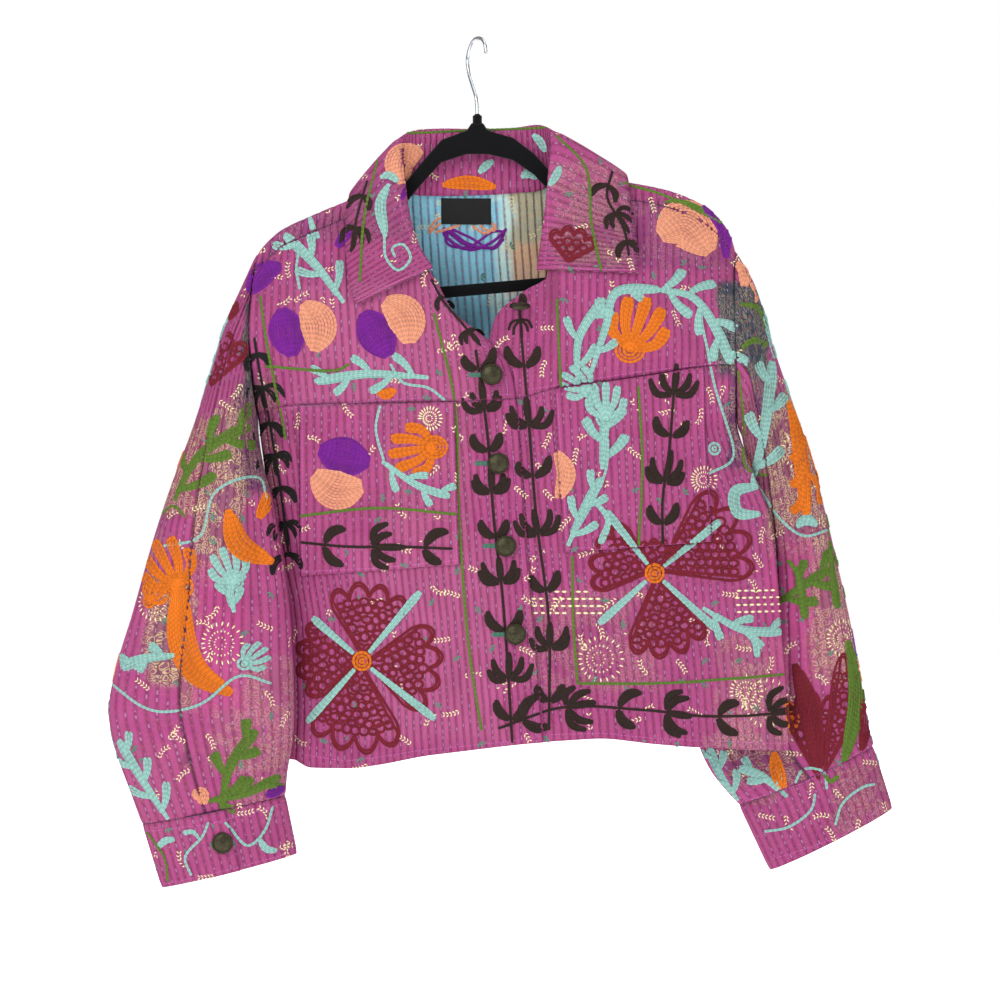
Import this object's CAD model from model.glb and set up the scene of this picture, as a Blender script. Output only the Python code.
"""A quilted and embroidered jacket with a shirt collar, hanging on a flocked hanger.

Sizes are in millimetres and become metres where a mesh is made. +Z is up and -Y is the
jacket's front. Right and left are the wearer's, so right is at -X. The origin is the point
inside the hanger's hook that rests on the rail.
"""
import logging
import math
from collections.abc import Callable, Sequence
from dataclasses import dataclass, field, replace
from enum import Enum

import bpy
import numpy as np
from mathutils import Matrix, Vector
from mathutils.bvhtree import BVHTree


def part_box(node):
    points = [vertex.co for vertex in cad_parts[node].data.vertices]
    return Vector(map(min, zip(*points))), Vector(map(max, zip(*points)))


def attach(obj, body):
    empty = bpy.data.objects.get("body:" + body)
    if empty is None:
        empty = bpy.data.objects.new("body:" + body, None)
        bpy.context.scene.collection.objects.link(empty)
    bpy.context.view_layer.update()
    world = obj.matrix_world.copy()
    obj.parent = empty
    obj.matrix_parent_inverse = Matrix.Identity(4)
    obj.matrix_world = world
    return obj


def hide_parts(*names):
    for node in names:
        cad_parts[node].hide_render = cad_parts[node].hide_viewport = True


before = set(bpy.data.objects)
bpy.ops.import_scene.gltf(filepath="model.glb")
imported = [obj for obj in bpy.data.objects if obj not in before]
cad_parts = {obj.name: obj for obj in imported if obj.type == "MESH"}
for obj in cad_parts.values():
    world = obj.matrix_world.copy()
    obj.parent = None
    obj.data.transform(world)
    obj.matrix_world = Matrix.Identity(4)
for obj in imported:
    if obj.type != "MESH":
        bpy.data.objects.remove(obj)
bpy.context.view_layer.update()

log = logging.getLogger("jacket")

MM = 0.001
BODY_NAME = "root"
Array = np.ndarray


class Side(Enum):
    """Which way a body panel faces."""

    FRONT = -1
    BACK = 1


# Cloth: its wall, the quilting's height and pitch, its mesh and how far the stitches pull it in
WALL = 2.0
QUILT_RAISE = 0.45
QUILT_PITCH = 7.6
QUILT_COLUMNS = 4
ROW_STEP = 3.8
PUCKER = 0.55
# Cuffs and collar are stiffer: they pucker and rise less
STIFF_PUCKER = 0.35
CUFF_RAISE = 0.2
COLLAR_RAISE = 0.15
# Gaps: between sewn edges, between cloth that lies on cloth, and the solids' ribs
SEAM_GAP = 0.45
LIE_GAP = 0.4
RIB_HEIGHT = 0.8
# The body's form: its side edges, the round of the shoulders, the neck and the armholes
SIDE_HALF = 2.0
CAP = 5.0
SHOULDER_DROP = 90.0
SHOULDER_POWER = 1.6
LENS_POWER = 3
SHOULDER_LAP = 11.0
NECK_TURN = 22.0
RIGHT_NECK_X = -71.0
LEFT_NECK_X = 81.0
ARMHOLE_POWER = 0.85

# The body at each height: the edge on the wearer's right and left, and half the depth
BODY_ROWS = (
    (-682, -173, 303, 46), (-629, -171, 301, 45), (-557, -172, 295, 44), (-493, -183, 290, 43),
    (-452, -189, 284, 42), (-407, -196, 267, 41), (-360, -202, 252, 40), (-312, -206, 249, 38),
    (-265, -208, 248, 36), (-235, -207, 249, 34), (-203, -203, 251, 32),
)
RIDGE_ROWS = (
    (-203, -203), (-195, -193), (-180, -180), (-153, -167), (-114, -151), (-71, -136),
    (7, -118), (81, -124), (113, -128), (140, -133), (186, -142), (218, -155), (235, -169),
    (245, -182), (252, -203),
)
BACK_NECK_ROWS = ((-71, -141), (-40, -144), (7, -143), (60, -140), (81, -134))
HEM_ROWS = (
    (-168, -682), (-151, -689), (-119, -689), (-86, -684), (-52, -677), (-5, -670), (68, -662),
    (123, -659), (173, -664), (216, -668), (303, -674),
)
CHEST_ROWS = (
    (-208, -354), (-164, -347), (-15, -344), (43, -341), (77, -332), (158, -321), (219, -311),
    (250, -309),
)
RIGHT_NECK_ROWS = ((-71, -150), (-67, -172), (-58, -199), (-34, -227))
RIGHT_EDGE_ROWS = (
    (-34, -227), (-16, -260), (2, -275), (17, -287), (32, -302), (39, -319), (43, -343),
    (48, -411), (52, -475), (56, -521), (61, -575), (68, -662),
)
LEFT_NECK_ROWS = ((78, -181), (83, -138))
LEFT_EDGE_ROWS = (
    (72, -227), (54, -238), (39, -249), (29, -257), (23, -266), (18, -281), (12, -303),
    (10, -341), (15, -411), (22, -521), (28, -575), (35, -662),
)
UNDERLAP_DEPTH = WALL + RIB_HEIGHT + LIE_GAP
UNDERLAP_START = 8.0
UNDERLAP_FADE = 34.0


@dataclass(frozen=True)
class Armhole:
    """An armhole of the body.

    Args:
        top: height of its top.
        under: height of the underarm.
        opening: how far it opens to each side.
    """

    top: float
    under: float
    opening: float = 36.0


RIGHT_ARMHOLE = Armhole(-203, -360)
LEFT_ARMHOLE = Armhole(-203, -367)


@dataclass(frozen=True)
class Trough:
    """A soft trough that hangs down the body.

    Args:
        side: the panel it is in.
        x: its place at the hem.
        depth: its depth at the hem.
        width: its half width.
        top: the height where it starts.
        lean: how far it leans over its height.
    """

    side: Side
    x: float
    depth: float
    width: float
    top: float
    lean: float


TROUGH_LOW = -680.0
TROUGH_EDGE_ROOM = 30.0
TROUGHS = (
    Trough(Side.FRONT, -118, 7, 18, -505, 10),
    Trough(Side.FRONT, -40, 4, 14, -520, -8),
    Trough(Side.FRONT, 120, 5, 18, -490, -14),
    Trough(Side.FRONT, 236, 8, 18, -475, -10),
    Trough(Side.BACK, -95, 8, 20, -380, 12),
    Trough(Side.BACK, 20, 6, 17, -460, -10),
    Trough(Side.BACK, 110, 7, 18, -420, 9),
    Trough(Side.BACK, 225, 6, 16, -360, -16),
)


@dataclass(frozen=True)
class Crease:
    """A short soft crease by hand: a line from one place to another, seen from its side.

    Args:
        side: the panel it is in.
        start: (x, z) of one end.
        end: (x, z) of the other end.
        depth: how deep it is, or how high where it is negative.
        width: its half width.
    """

    side: Side
    start: tuple[float, float]
    end: tuple[float, float]
    depth: float
    width: float


# How much deeper all creases are than listed, how far they bow, how soon they fade, and the
# low ridge that stands beside each, as shares of its depth and width
CREASE_GAIN = 1.5
CREASE_BOW = 0.5
CREASE_FADE = 2.6
RIDGE_SHARE = 0.45
RIDGE_AWAY = 1.7
CREASES = (
    Crease(Side.FRONT, (-186, -330), (-128, -262), 2.6, 9),
    Crease(Side.FRONT, (-196, -372), (-150, -360), 2.2, 8),
    Crease(Side.FRONT, (-190, -410), (-168, -520), 2.4, 8),
    Crease(Side.FRONT, (-60, -238), (-36, -330), -1.6, 10),
    Crease(Side.FRONT, (-20, -560), (18, -650), 1.8, 10),
    Crease(Side.FRONT, (60, -590), (110, -650), 1.6, 12),
    Crease(Side.FRONT, (170, -220), (228, -300), 2.4, 9),
    Crease(Side.FRONT, (236, -330), (205, -300), 2.0, 7),
    Crease(Side.FRONT, (262, -420), (238, -540), 2.6, 9),
    Crease(Side.FRONT, (150, -560), (214, -600), -1.6, 12),
    Crease(Side.FRONT, (90, -250), (128, -310), 1.4, 12),
    Crease(Side.BACK, (-180, -330), (-70, -300), 2.4, 11),
    Crease(Side.BACK, (-150, -250), (-20, -236), 1.8, 12),
    Crease(Side.BACK, (60, -232), (190, -262), 2.0, 12),
    Crease(Side.BACK, (228, -340), (120, -316), 2.4, 11),
    Crease(Side.BACK, (-160, -420), (-120, -560), 2.6, 10),
    Crease(Side.BACK, (-20, -380), (10, -500), -1.8, 12),
    Crease(Side.BACK, (180, -430), (196, -590), 2.6, 10),
    Crease(Side.BACK, (60, -540), (80, -640), 1.8, 9),
)


def smooth(value: Array) -> Array:
    """Eases a value from 0 to 1 and holds it there."""
    t = np.clip(value, 0.0, 1.0)
    return t * t * (3 - 2 * t)


def mix(a: Array, b: Array, t: Array) -> Array:
    """Returns the value a share t of the way from a to b."""
    return a + (b - a) * t


class Line:
    """A smooth line through rows of (place, height) that never overshoots them."""

    def __init__(self, rows: Sequence[tuple[float, float]]) -> None:
        """Sorts the rows and works out the line's lean at each."""
        table = np.array(sorted(rows), float)
        self.place, self.height = table[:, 0], table[:, 1]
        slope = np.diff(self.height) / np.diff(self.place)
        before, after = np.append(slope[:1], slope), np.append(slope, slope[-1:])
        total = np.where(before + after == 0, 1.0, before + after)
        self.lean = np.where(before * after > 0, 2 * before * after / total, 0.0)

    def __call__(self, at: Array) -> Array:
        """Returns the line's height at each place."""
        p = np.clip(at, self.place[0], self.place[-1])
        last = len(self.place) - 2
        i = np.clip(np.searchsorted(self.place, p, side="right") - 1, 0, last)
        width = self.place[i + 1] - self.place[i]
        t = (p - self.place[i]) / width
        rise = self.height[i + 1] - self.height[i]
        a = self.lean[i] * width - rise
        b = -self.lean[i + 1] * width + rise
        return self.height[i] + rise * t + t * (1 - t) * (a * (1 - t) + b * t)


def pick(rows: Sequence[tuple[float, ...]], a: int, b: int) -> list[tuple[float, float]]:
    """Returns two columns of a table as pairs."""
    return [(row[a], row[b]) for row in rows]


right_side = Line(pick(BODY_ROWS, 0, 1))
left_side = Line(pick(BODY_ROWS, 0, 2))
middle_depth = Line(pick(BODY_ROWS, 0, 3))
ridge = Line(RIDGE_ROWS)
hem_line = Line(HEM_ROWS)
chest_seam = Line(CHEST_ROWS)
back_neck = Line(BACK_NECK_ROWS)
right_edge = Line(pick(RIGHT_EDGE_ROWS, 1, 0))
left_edge = Line(pick(LEFT_EDGE_ROWS, 1, 0))
right_neck_top = Line(RIGHT_NECK_ROWS + RIGHT_EDGE_ROWS[1:5])
left_neck_top = Line(LEFT_EDGE_ROWS[:7] + LEFT_NECK_ROWS)


class BodyForm:
    """The body of the jacket as a depth over each place seen from the front."""

    def armhole_open(self, hole: Armhole, z: Array) -> Array:
        """Returns half the armhole's opening at a height."""
        share = np.clip((hole.top - z) / (hole.top - hole.under), 0, 1)
        return np.maximum(SIDE_HALF, hole.opening * np.sin(math.pi * share) ** ARMHOLE_POWER)

    def half(self, x: Array, z: Array) -> Array:
        """Returns half of the body's depth at each place."""
        low, high = right_side(z), left_side(z)
        centre = (low + high) / 2
        across = np.minimum(1, np.abs(x - centre) / ((high - low) / 2))
        edge = np.where(
            x < centre, self.armhole_open(RIGHT_ARMHOLE, z), self.armhole_open(LEFT_ARMHOLE, z)
        )
        crown = edge + (middle_depth(z) - edge) * (1 - across**LENS_POWER)
        base = ridge(x) - CAP
        above = CAP * np.sqrt(np.maximum(0, 1 - (np.maximum(0, z - base) / CAP) ** 2))
        drop = np.clip((base - z) / SHOULDER_DROP, 0, 1)
        fall = 1 - (1 - drop) ** SHOULDER_POWER
        below = CAP + (crown - CAP) * np.where(crown > CAP, fall, 1)
        return np.where(z > base, above, below)

    def dent(self, side: Side, x: Array, z: Array) -> Array:
        """Returns how deep the troughs and creases go at each place."""
        total = np.zeros(np.broadcast(x, z).shape)
        for trough in TROUGHS:
            if trough.side is side:
                grow = smooth((trough.top - z) / (trough.top - TROUGH_LOW))
                off = x - trough.x - trough.lean * (1 - grow)
                total = total + trough.depth * grow * np.exp(-((off / trough.width) ** 2))
        room = smooth(np.minimum(x - right_side(z), left_side(z) - x) / TROUGH_EDGE_ROOM)
        return total * room + self.crease(side, x, z) * smooth(room * 2)

    def crease(self, side: Side, x: Array, z: Array) -> Array:
        """Returns how deep the short creases go at each place."""
        total = np.zeros(np.broadcast(x, z).shape)
        for crease in CREASES:
            if crease.side is not side:
                continue
            (x0, z0), (x1, z1) = crease.start, crease.end
            run = math.hypot(x1 - x0, z1 - z0)
            ax, az = (x1 - x0) / run, (z1 - z0) / run
            along = (x - x0) * ax + (z - z0) * az
            bow = crease.width * CREASE_BOW * np.sin(math.pi * np.clip(along / run, 0, 1))
            across = (x - x0) * az - (z - z0) * ax - bow
            fade = smooth(along / run * CREASE_FADE) * smooth((run - along) / run * CREASE_FADE)
            beside = (across - RIDGE_AWAY * crease.width) / crease.width
            ridge_by = RIDGE_SHARE * np.exp(-(beside**2))
            dip = np.exp(-((across / crease.width) ** 2)) - ridge_by
            total = total + CREASE_GAIN * crease.depth * fade * dip
        return total

    def depth(self, side: Side, x: Array, z: Array, out: Array | float = 0.0) -> Array:
        """Returns the Y of a panel's surface at each place, moved out by a distance."""
        return side.value * (self.half(x, z) - self.dent(side, x, z) + out)

    def point(self, side: Side, x: Array, z: Array, out: Array | float = 0.0) -> Array:
        """Returns points of a panel's surface, moved out along Y."""
        y = self.depth(side, x, z, out)
        x, y, z = np.broadcast_arrays(x, y, z)
        return np.stack([x, y, z], axis=-1).astype(float)

    def normal(self, side: Side, x: Array, z: Array, reach: float = 1.5) -> Array:
        """Returns the way out of a panel's surface at each place."""
        slope_x = (self.depth(side, x + reach, z) - self.depth(side, x - reach, z)) / (2 * reach)
        slope_z = (self.depth(side, x, z + reach) - self.depth(side, x, z - reach)) / (2 * reach)
        way = np.stack([-slope_x, np.ones_like(slope_x), -slope_z], axis=-1) * side.value
        return way / np.linalg.norm(way, axis=-1, keepdims=True)


BODY = BodyForm()


def neck_turn(x: Array) -> Array:
    """Returns 1 between the neck points, easing to 0 on the shoulders."""
    return np.minimum(
        smooth((x - RIGHT_NECK_X + NECK_TURN) / NECK_TURN),
        smooth((LEFT_NECK_X + NECK_TURN - x) / NECK_TURN),
    )


def forward_seam(x: Array) -> Array:
    """Returns the height of the shoulder seam on the front."""
    return ridge(x) - CAP - 2 * SEAM_GAP - SHOULDER_LAP * (1 - neck_turn(x))


def underlap(x: Array, z: Array) -> Array:
    """Returns how far the left front lies behind the right one, as a negative move out."""
    over = right_edge(z) + UNDERLAP_START - x
    return -UNDERLAP_DEPTH * smooth((over + UNDERLAP_FADE) / UNDERLAP_FADE)


def flat_shift(x: Array, z: Array) -> Array:
    """Returns no move out at all."""
    return np.zeros(np.broadcast(x, z).shape)


@dataclass
class Sheet:
    """A cloth surface as a grid of points and ways out, with its sizes.

    Args:
        node: the CAD node that it stands for.
        points: rows by columns by 3, the middle of the outer face, in millimetres.
        normals: the way out at each point.
        wall: the thickness.
        quilted: how much the running stitch pulls the face in.
        raise_by: how far the face stands out between the rows of stitches.
        inner_step: how many columns of the outer face one of the inner face spans.
    """

    node: str
    points: Array
    normals: Array
    wall: float = WALL
    quilted: float = PUCKER
    raise_by: float = QUILT_RAISE
    inner_step: int = 4

    @property
    def name(self) -> str:
        """Returns the piece's name."""
        return f"{self.node}_cloth"


def grid_area(points: Array) -> float:
    """Returns the area of a grid of points."""
    a = points[:-1, 1:] - points[:-1, :-1]
    b = points[1:, :-1] - points[:-1, :-1]
    return float(np.linalg.norm(np.cross(a, b), axis=-1).sum())


def border_strip(first: Sequence[int], second: Sequence[int]) -> list[tuple[int, int, int]]:
    """Joins two border lines of different counts with triangles.

    Args:
        first: the vertices of one line.
        second: the vertices of the other line.

    Returns:
        The triangles, turned as the first line runs.
    """
    faces = []
    a = b = 0
    end_a, end_b = len(first) - 1, len(second) - 1
    while a < end_a or b < end_b:
        if b >= end_b or (a < end_a and (a + 1) * end_b <= (b + 1) * end_a):
            faces.append((first[a], second[b], first[a + 1]))
            a += 1
        else:
            faces.append((first[a], second[b], second[b + 1]))
            b += 1
    return faces


def inner_places(count: int, step: int) -> Array:
    """Returns every step-th index of a row of the outer face, with both ends."""
    places = list(range(0, count, step))
    if places[-1] != count - 1:
        places.append(count - 1)
    return np.array(places)


def quads(index: Array) -> list[tuple[int, int, int, int]]:
    """Returns the faces of a grid of vertex numbers."""
    a, b = index[:-1, :-1], index[:-1, 1:]
    c, d = index[1:, 1:], index[1:, :-1]
    return list(zip(a.ravel().tolist(), b.ravel().tolist(), c.ravel().tolist(), d.ravel().tolist()))


def add_object(name: str, points: Array, faces: Sequence[Sequence[int]]) -> bpy.types.Object:
    """Makes an object of points in millimetres and faces, shaded smooth.

    Args:
        name: the object's name.
        points: its points in millimetres.
        faces: its faces.

    Returns:
        The object, at the origin and linked to the scene.
    """
    mesh = bpy.data.meshes.new(name)
    mesh.from_pydata((points * MM).tolist(), [], faces)
    mesh.polygons.foreach_set("use_smooth", [True] * len(mesh.polygons))
    mesh.update()
    made = bpy.data.objects.new(name, mesh)
    bpy.context.scene.collection.objects.link(made)
    return made


def sheet_object(sheet: Sheet) -> bpy.types.Object:
    """Makes a sheet of cloth: a quilted outer face over a plain and coarser inner face.

    Args:
        sheet: the grid and its sizes.

    Returns:
        The object, with a UV map in metres, riding and declared.
    """
    rows, columns = sheet.points.shape[:2]
    u = np.arange(columns) * QUILT_PITCH / QUILT_COLUMNS
    v = np.concatenate(
        [[0], np.cumsum(np.linalg.norm(np.diff(sheet.points, axis=0), axis=-1).mean(axis=1))]
    )
    u_grid, v_grid = np.meshgrid(u, v)
    off_row = np.abs((u_grid / QUILT_PITCH + 0.5) % 1 - 0.5) * 2
    row_number = np.round(u_grid / QUILT_PITCH)
    stitch = 0.75 + 0.25 * np.cos(2 * math.pi * (v_grid / STITCH_PITCH + STITCH_STAGGER * row_number))
    uneven = 0.75 + 0.25 * np.sin(u_grid * 0.043 + 1.3) * np.cos(v_grid * 0.037 + row_number)
    puff = -sheet.quilted * (1 - off_row) ** 1.5 * stitch * uneven
    i, j = np.meshgrid(np.arange(columns), np.arange(rows))
    rim = np.minimum.reduce([i, columns - 1 - i, j, rows - 1 - j])
    out = sheet.raise_by + puff - EDGE_TURN * (rim == 0) - EDGE_TURN * 0.3 * (rim == 1)
    outer = sheet.points + sheet.normals * out[..., None]
    ci = inner_places(columns, sheet.inner_step)
    ri = inner_places(rows, 2)
    inner = (sheet.points - sheet.normals * sheet.wall)[np.ix_(ri, ci)]
    outer_index = np.arange(rows * columns).reshape(rows, columns)
    inner_index = rows * columns + np.arange(len(ri) * len(ci)).reshape(len(ri), len(ci))
    faces: list[Sequence[int]] = [*quads(outer_index), *quads(inner_index[:, ::-1])]
    for first, second in (
        (outer_index[0], inner_index[0]),
        (outer_index[-1][::-1], inner_index[-1][::-1]),
        (outer_index[::-1, 0], inner_index[::-1, 0]),
        (outer_index[:, -1], inner_index[:, -1]),
    ):
        faces += border_strip(first.tolist(), second.tolist())
    points = np.concatenate([outer.reshape(-1, 3), inner.reshape(-1, 3)])
    faces = turned_out(points, faces, outer_index, sheet.normals)
    made = add_object(sheet.name, points, faces)
    flat = np.concatenate(
        [
            np.stack([u_grid, v_grid], axis=-1).reshape(-1, 2),
            np.stack([u_grid, v_grid], axis=-1)[np.ix_(ri, ci)].reshape(-1, 2),
        ]
    )
    set_uv(made, flat * MM)
    inside = made.data.attributes.new("inner", "FLOAT", "POINT")
    inside.data.foreach_set("value", (np.arange(len(points)) >= rows * columns).astype(np.float32))
    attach(made, BODY_NAME)
    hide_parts(sheet.node)
    cloth_slot(sheet.node)
    width, length, area = cut_of(sheet.points)
    log.info("%s is cut %.0f by %.0f mm, %.4f square metres", sheet.name, width, length, area * MM**2)
    return made


def cloth_slot(node: str) -> str:
    """Returns the record's material slot of a cloth node."""
    if node == "neck_label":
        return "label_cloth"
    return "sleeve_cloth" if "sleeve" in node or "cuff" in node else "quilted_cloth"


def cut_of(points: Array) -> tuple[float, float, float]:
    """Works out the cut of a sheet from its grid.

    Args:
        points: rows by columns by 3.

    Returns:
        The width and length of the smallest strip that it is cut from, and its flat area.
    """
    across = np.linalg.norm(np.diff(points, axis=1), axis=-1).sum(axis=1)
    down = np.linalg.norm(np.diff(points, axis=0), axis=-1).sum(axis=0)
    width, length = float(across.max()), float(down.max())
    area = grid_area(points)
    return width, length, float(np.clip(area, 0.3 * width * length, width * length))


def turned_out(
    points: Array, faces: list[Sequence[int]], index: Array, normals: Array
) -> list[Sequence[int]]:
    """Turns all faces round where the outer ones point in.

    Args:
        points: the vertices.
        faces: the faces.
        index: the outer grid's vertex numbers.
        normals: the way out at each place of that grid.

    Returns:
        The faces, pointing out.
    """
    row, column = index.shape[0] // 2, index.shape[1] // 2
    a, b, c = (points[index[row + dr, column + dc]] for dr, dc in ((0, 0), (0, 1), (1, 1)))
    if np.dot(np.cross(b - a, c - a), normals[row, column]) < 0:
        return [face[::-1] for face in faces]
    return faces


def set_uv(made: bpy.types.Object, places: Array) -> None:
    """Gives a mesh a UV map from one place for each vertex."""
    layer = made.data.uv_layers.new(name="cloth")
    corner = np.zeros(len(made.data.loops), dtype=np.int32)
    made.data.loops.foreach_get("vertex_index", corner)
    layer.data.foreach_set("uv", places[corner].astype(np.float32).ravel())


@dataclass
class PanelBorders:
    """The border lines of a body panel seen from the front.

    Args:
        top_x: where its first and last column start.
        low_x: where they end.
        top: its upper edge over X.
        low: its lower edge over X.
        start: its first side over Z.
        end: its last side over Z.
    """

    top_x: tuple[float, float]
    low_x: tuple[float, float]
    top: Callable[[Array], Array]
    low: Callable[[Array], Array]
    start: Callable[[Array], Array]
    end: Callable[[Array], Array]

    def places(self, columns: int, rows: int) -> tuple[Array, Array]:
        """Returns the X and Z of each place of the panel's grid."""
        u, v = np.meshgrid(np.linspace(0, 1, columns), np.linspace(0, 1, rows))
        first = self.side_shift(self.start, 0.0, v)
        last = self.side_shift(self.end, 1.0, v)
        x = self.straight(u, v) + (1 - u) ** 2 * first + u**2 * last
        return x, self.height(x, v)

    def height(self, x: Array, v: Array) -> Array:
        """Returns the height at a share v of the way down."""
        return mix(self.top(x), self.low(x), v)

    def straight(self, u: Array | float, v: Array) -> Array:
        """Returns the X of straight columns."""
        return mix(mix(*self.top_x, u), mix(*self.low_x, u), v)

    def side_shift(self, line: Callable[[Array], Array], u: float, v: Array) -> Array:
        """Returns how far a side's line lies from the straight column there."""
        x = self.straight(u, v)
        for _turn in range(4):
            x = line(self.height(x, v))
        return x - self.straight(u, v)


class BodyPanels:
    """The back, the two yokes and the two fronts."""

    def build(self) -> dict[str, bpy.types.Object]:
        """Builds the panels and returns them by name."""
        made = {}
        low_yoke = lambda x: chest_seam(x) + SEAM_GAP / 2
        top_front = lambda x: chest_seam(x) - SEAM_GAP / 2
        right_top = lambda x: np.where(x < RIGHT_NECK_X, forward_seam(x), right_neck_top(x))
        left_top = lambda x: np.where(x > LEFT_NECK_X, forward_seam(x), left_neck_top(x))
        borders = {
            "right_front_yoke": (
                PanelBorders((-203, 17), (-203, 43), right_top, low_yoke, right_side, right_edge),
                flat_shift, (255, 215),
            ),
            "left_front_yoke": (
                PanelBorders((12, 251), (10, 249), left_top, low_yoke, left_edge, left_side),
                underlap, (250, 200),
            ),
            "right_front": (
                PanelBorders((-203, 43), (-168, 68), top_front, hem_line, right_side, right_edge),
                flat_shift, (270, 345),
            ),
            "left_front": (
                PanelBorders((10, 249), (35, 303), top_front, hem_line, left_edge, left_side),
                underlap, (280, 350),
            ),
        }
        for name, (border, shift, (width, length)) in borders.items():
            made[name] = sheet_object(self.front_sheet(name, border, shift, width, length))
        made["back"] = sheet_object(self.back_sheet())
        return made

    def front_sheet(
        self, name: str, border: PanelBorders, shift: Callable, width: float, length: float
    ) -> Sheet:
        """Returns the grid of a front panel.

        Args:
            name: the panel's node.
            border: its border lines.
            shift: how far it is moved out.
            width: the cut's width.
            length: the cut's length.

        Returns:
            The sheet.
        """
        columns = QUILT_COLUMNS * round(width / QUILT_PITCH) + 1
        x, z = border.places(columns, round(length / ROW_STEP) + 1)
        points = BODY.point(Side.FRONT, x, z, shift(x, z))
        return Sheet(name, points, BODY.normal(Side.FRONT, x, z))

    def back_sheet(self) -> Sheet:
        """Returns the grid of the back, which goes over the hanger to the shoulder seams."""
        columns = QUILT_COLUMNS * round(BACK_WIDTH / QUILT_PITCH) + 1
        arc = CAP * math.pi / 2
        over = [-arc - SHOULDER_LAP, *(arc * t for t in (-1, -0.7, -0.4, 0, 0.4, 0.7, 1))]
        cap_rows = len(over) - 1
        levels = np.linspace(0, 1, round(BACK_LENGTH / ROW_STEP))[1:]
        u = np.linspace(0, 1, columns)
        points, normals = [], []
        for row in range(cap_rows + 1 + len(levels)):
            level = 0.0 if row <= cap_rows else float(levels[row - cap_rows - 1])
            place = lambda x: self.back_place(x, over[min(row, cap_rows)], min(row, cap_rows), level)
            straight = mix(mix(*BACK_TOP_X, u), mix(*BACK_LOW_X, u), level)
            x = straight.copy()
            for line, end in ((right_side, 0), (left_side, -1)):
                at = straight[[end]]
                for _turn in range(4):
                    at = line(place(at)[0][:, 2])
                share = (1 - u) ** 4 if end == 0 else u**4
                x = x + share * (at - straight[[end]])
            point, normal = place(x)
            points.append(point)
            normals.append(normal)
        return Sheet("back", np.array(points), np.array(normals))

    def back_place(self, x: Array, over: float, row: int, level: float) -> tuple[Array, Array]:
        """Returns points and ways out of one row of the back.

        Args:
            x: the places along the row.
            over: the row's run over the shoulder, from its top.
            row: the row's number, up to the last one on top.
            level: the share of the way down to the hem.

        Returns:
            The points and the ways out.
        """
        arc = CAP * math.pi / 2
        base = ridge(x) - CAP
        neck = arc + (base - back_neck(x)) + NECK_ROW_STEP * row
        along = mix(over, neck, neck_turn(x))
        flat_z = base - (np.abs(along) - arc)
        down_z = mix(base - (along - arc), hem_line(x), level)
        z = np.where(level > 0, down_z, flat_z)
        point = np.where(
            (along < 0)[:, None], BODY.point(Side.FRONT, x, z), BODY.point(Side.BACK, x, z)
        )
        normal = np.where(
            (along < 0)[:, None], BODY.normal(Side.FRONT, x, z), BODY.normal(Side.BACK, x, z)
        )
        turn = along / CAP
        round_normal = np.stack([np.zeros_like(turn), np.sin(turn), np.cos(turn)], axis=-1)
        centre = np.stack([x, np.zeros_like(x), base], axis=-1)
        on_top = ((np.abs(along) <= arc) & (level == 0))[:, None]
        point = np.where(on_top, centre + CAP * round_normal, point)
        return point, np.where(on_top, round_normal, normal)


BACK_WIDTH = 470.0
BACK_LENGTH = 560.0
BACK_TOP_X = (-203.0, 251.0)
BACK_LOW_X = (-168.0, 303.0)
NECK_ROW_STEP = 0.8
STITCH_PITCH = 7.0
STITCH_STAGGER = 0.5
EDGE_TURN = 0.7


@dataclass
class Pocket:
    """A patch pocket on a front.

    Args:
        name: its node.
        top: (x, z) of its upper corners, from low to high X.
        low: (x, z) of its lower corners.
        shift: how far its front is moved out.
    """

    name: str
    top: tuple[tuple[float, float], tuple[float, float]]
    low: tuple[tuple[float, float], tuple[float, float]]
    shift: Callable[[Array, Array], Array]

    def build(self) -> bpy.types.Object:
        """Builds the pocket from its front's points, moved out."""
        (top_a, top_b), (low_a, low_b) = self.top, self.low
        edge = lambda a, b: lambda x: mix(a[1], b[1], (x - a[0]) / (b[0] - a[0]))
        border = lambda a, b: lambda z: mix(a[0], b[0], (z - a[1]) / (b[1] - a[1]))
        borders = PanelBorders(
            (top_a[0], top_b[0]), (low_a[0], low_b[0]), edge(top_a, top_b), edge(low_a, low_b),
            border(top_a, low_a), border(top_b, low_b),
        )
        width, length = top_b[0] - top_a[0] + 8, top_a[1] - low_a[1] + 16
        columns = QUILT_COLUMNS * round(width / QUILT_PITCH) + 1
        x, z = borders.places(columns, round(length / ROW_STEP) + 1)
        lift = self.shift(x, z) + RIB_HEIGHT + POCKET_GAP + WALL
        points = BODY.point(Side.FRONT, x, z, lift)
        normals = BODY.normal(Side.FRONT, x, z)
        return sheet_object(Sheet(self.name, points, normals))


POCKET_GAP = 0.52
POCKETS = (
    Pocket("right_pocket", ((-162, -349), (-15, -345)), ((-162, -508), (-10, -496)), flat_shift),
    Pocket("left_pocket", ((78, -333), (219, -312)), ((87, -485), (226, -475)), underlap),
)


@dataclass(frozen=True)
class Ring:
    """A flat section of a sleeve.

    Args:
        out_x: X of its outer end.
        out_z: Z of its outer end.
        in_x: X of its inner end.
        in_z: Z of its inner end.
        front: how far its front stands off the line between them.
        back: how far its back does.
        y: its place in Y.
    """

    out_x: float
    out_z: float
    in_x: float
    in_z: float
    front: float
    back: float
    y: float

    def trace(self, share: Array) -> Array:
        """Returns points round the ring, from the outer end over the front."""
        turn = share * 2 * math.pi
        inward = (1 - np.cos(turn)) / 2
        off = np.sin(turn)
        y = self.y - off * np.where(off > 0, self.front, self.back)
        x, z = mix(self.out_x, self.in_x, inward), mix(self.out_z, self.in_z, inward)
        return np.stack([x, y, z], axis=-1)


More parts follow.
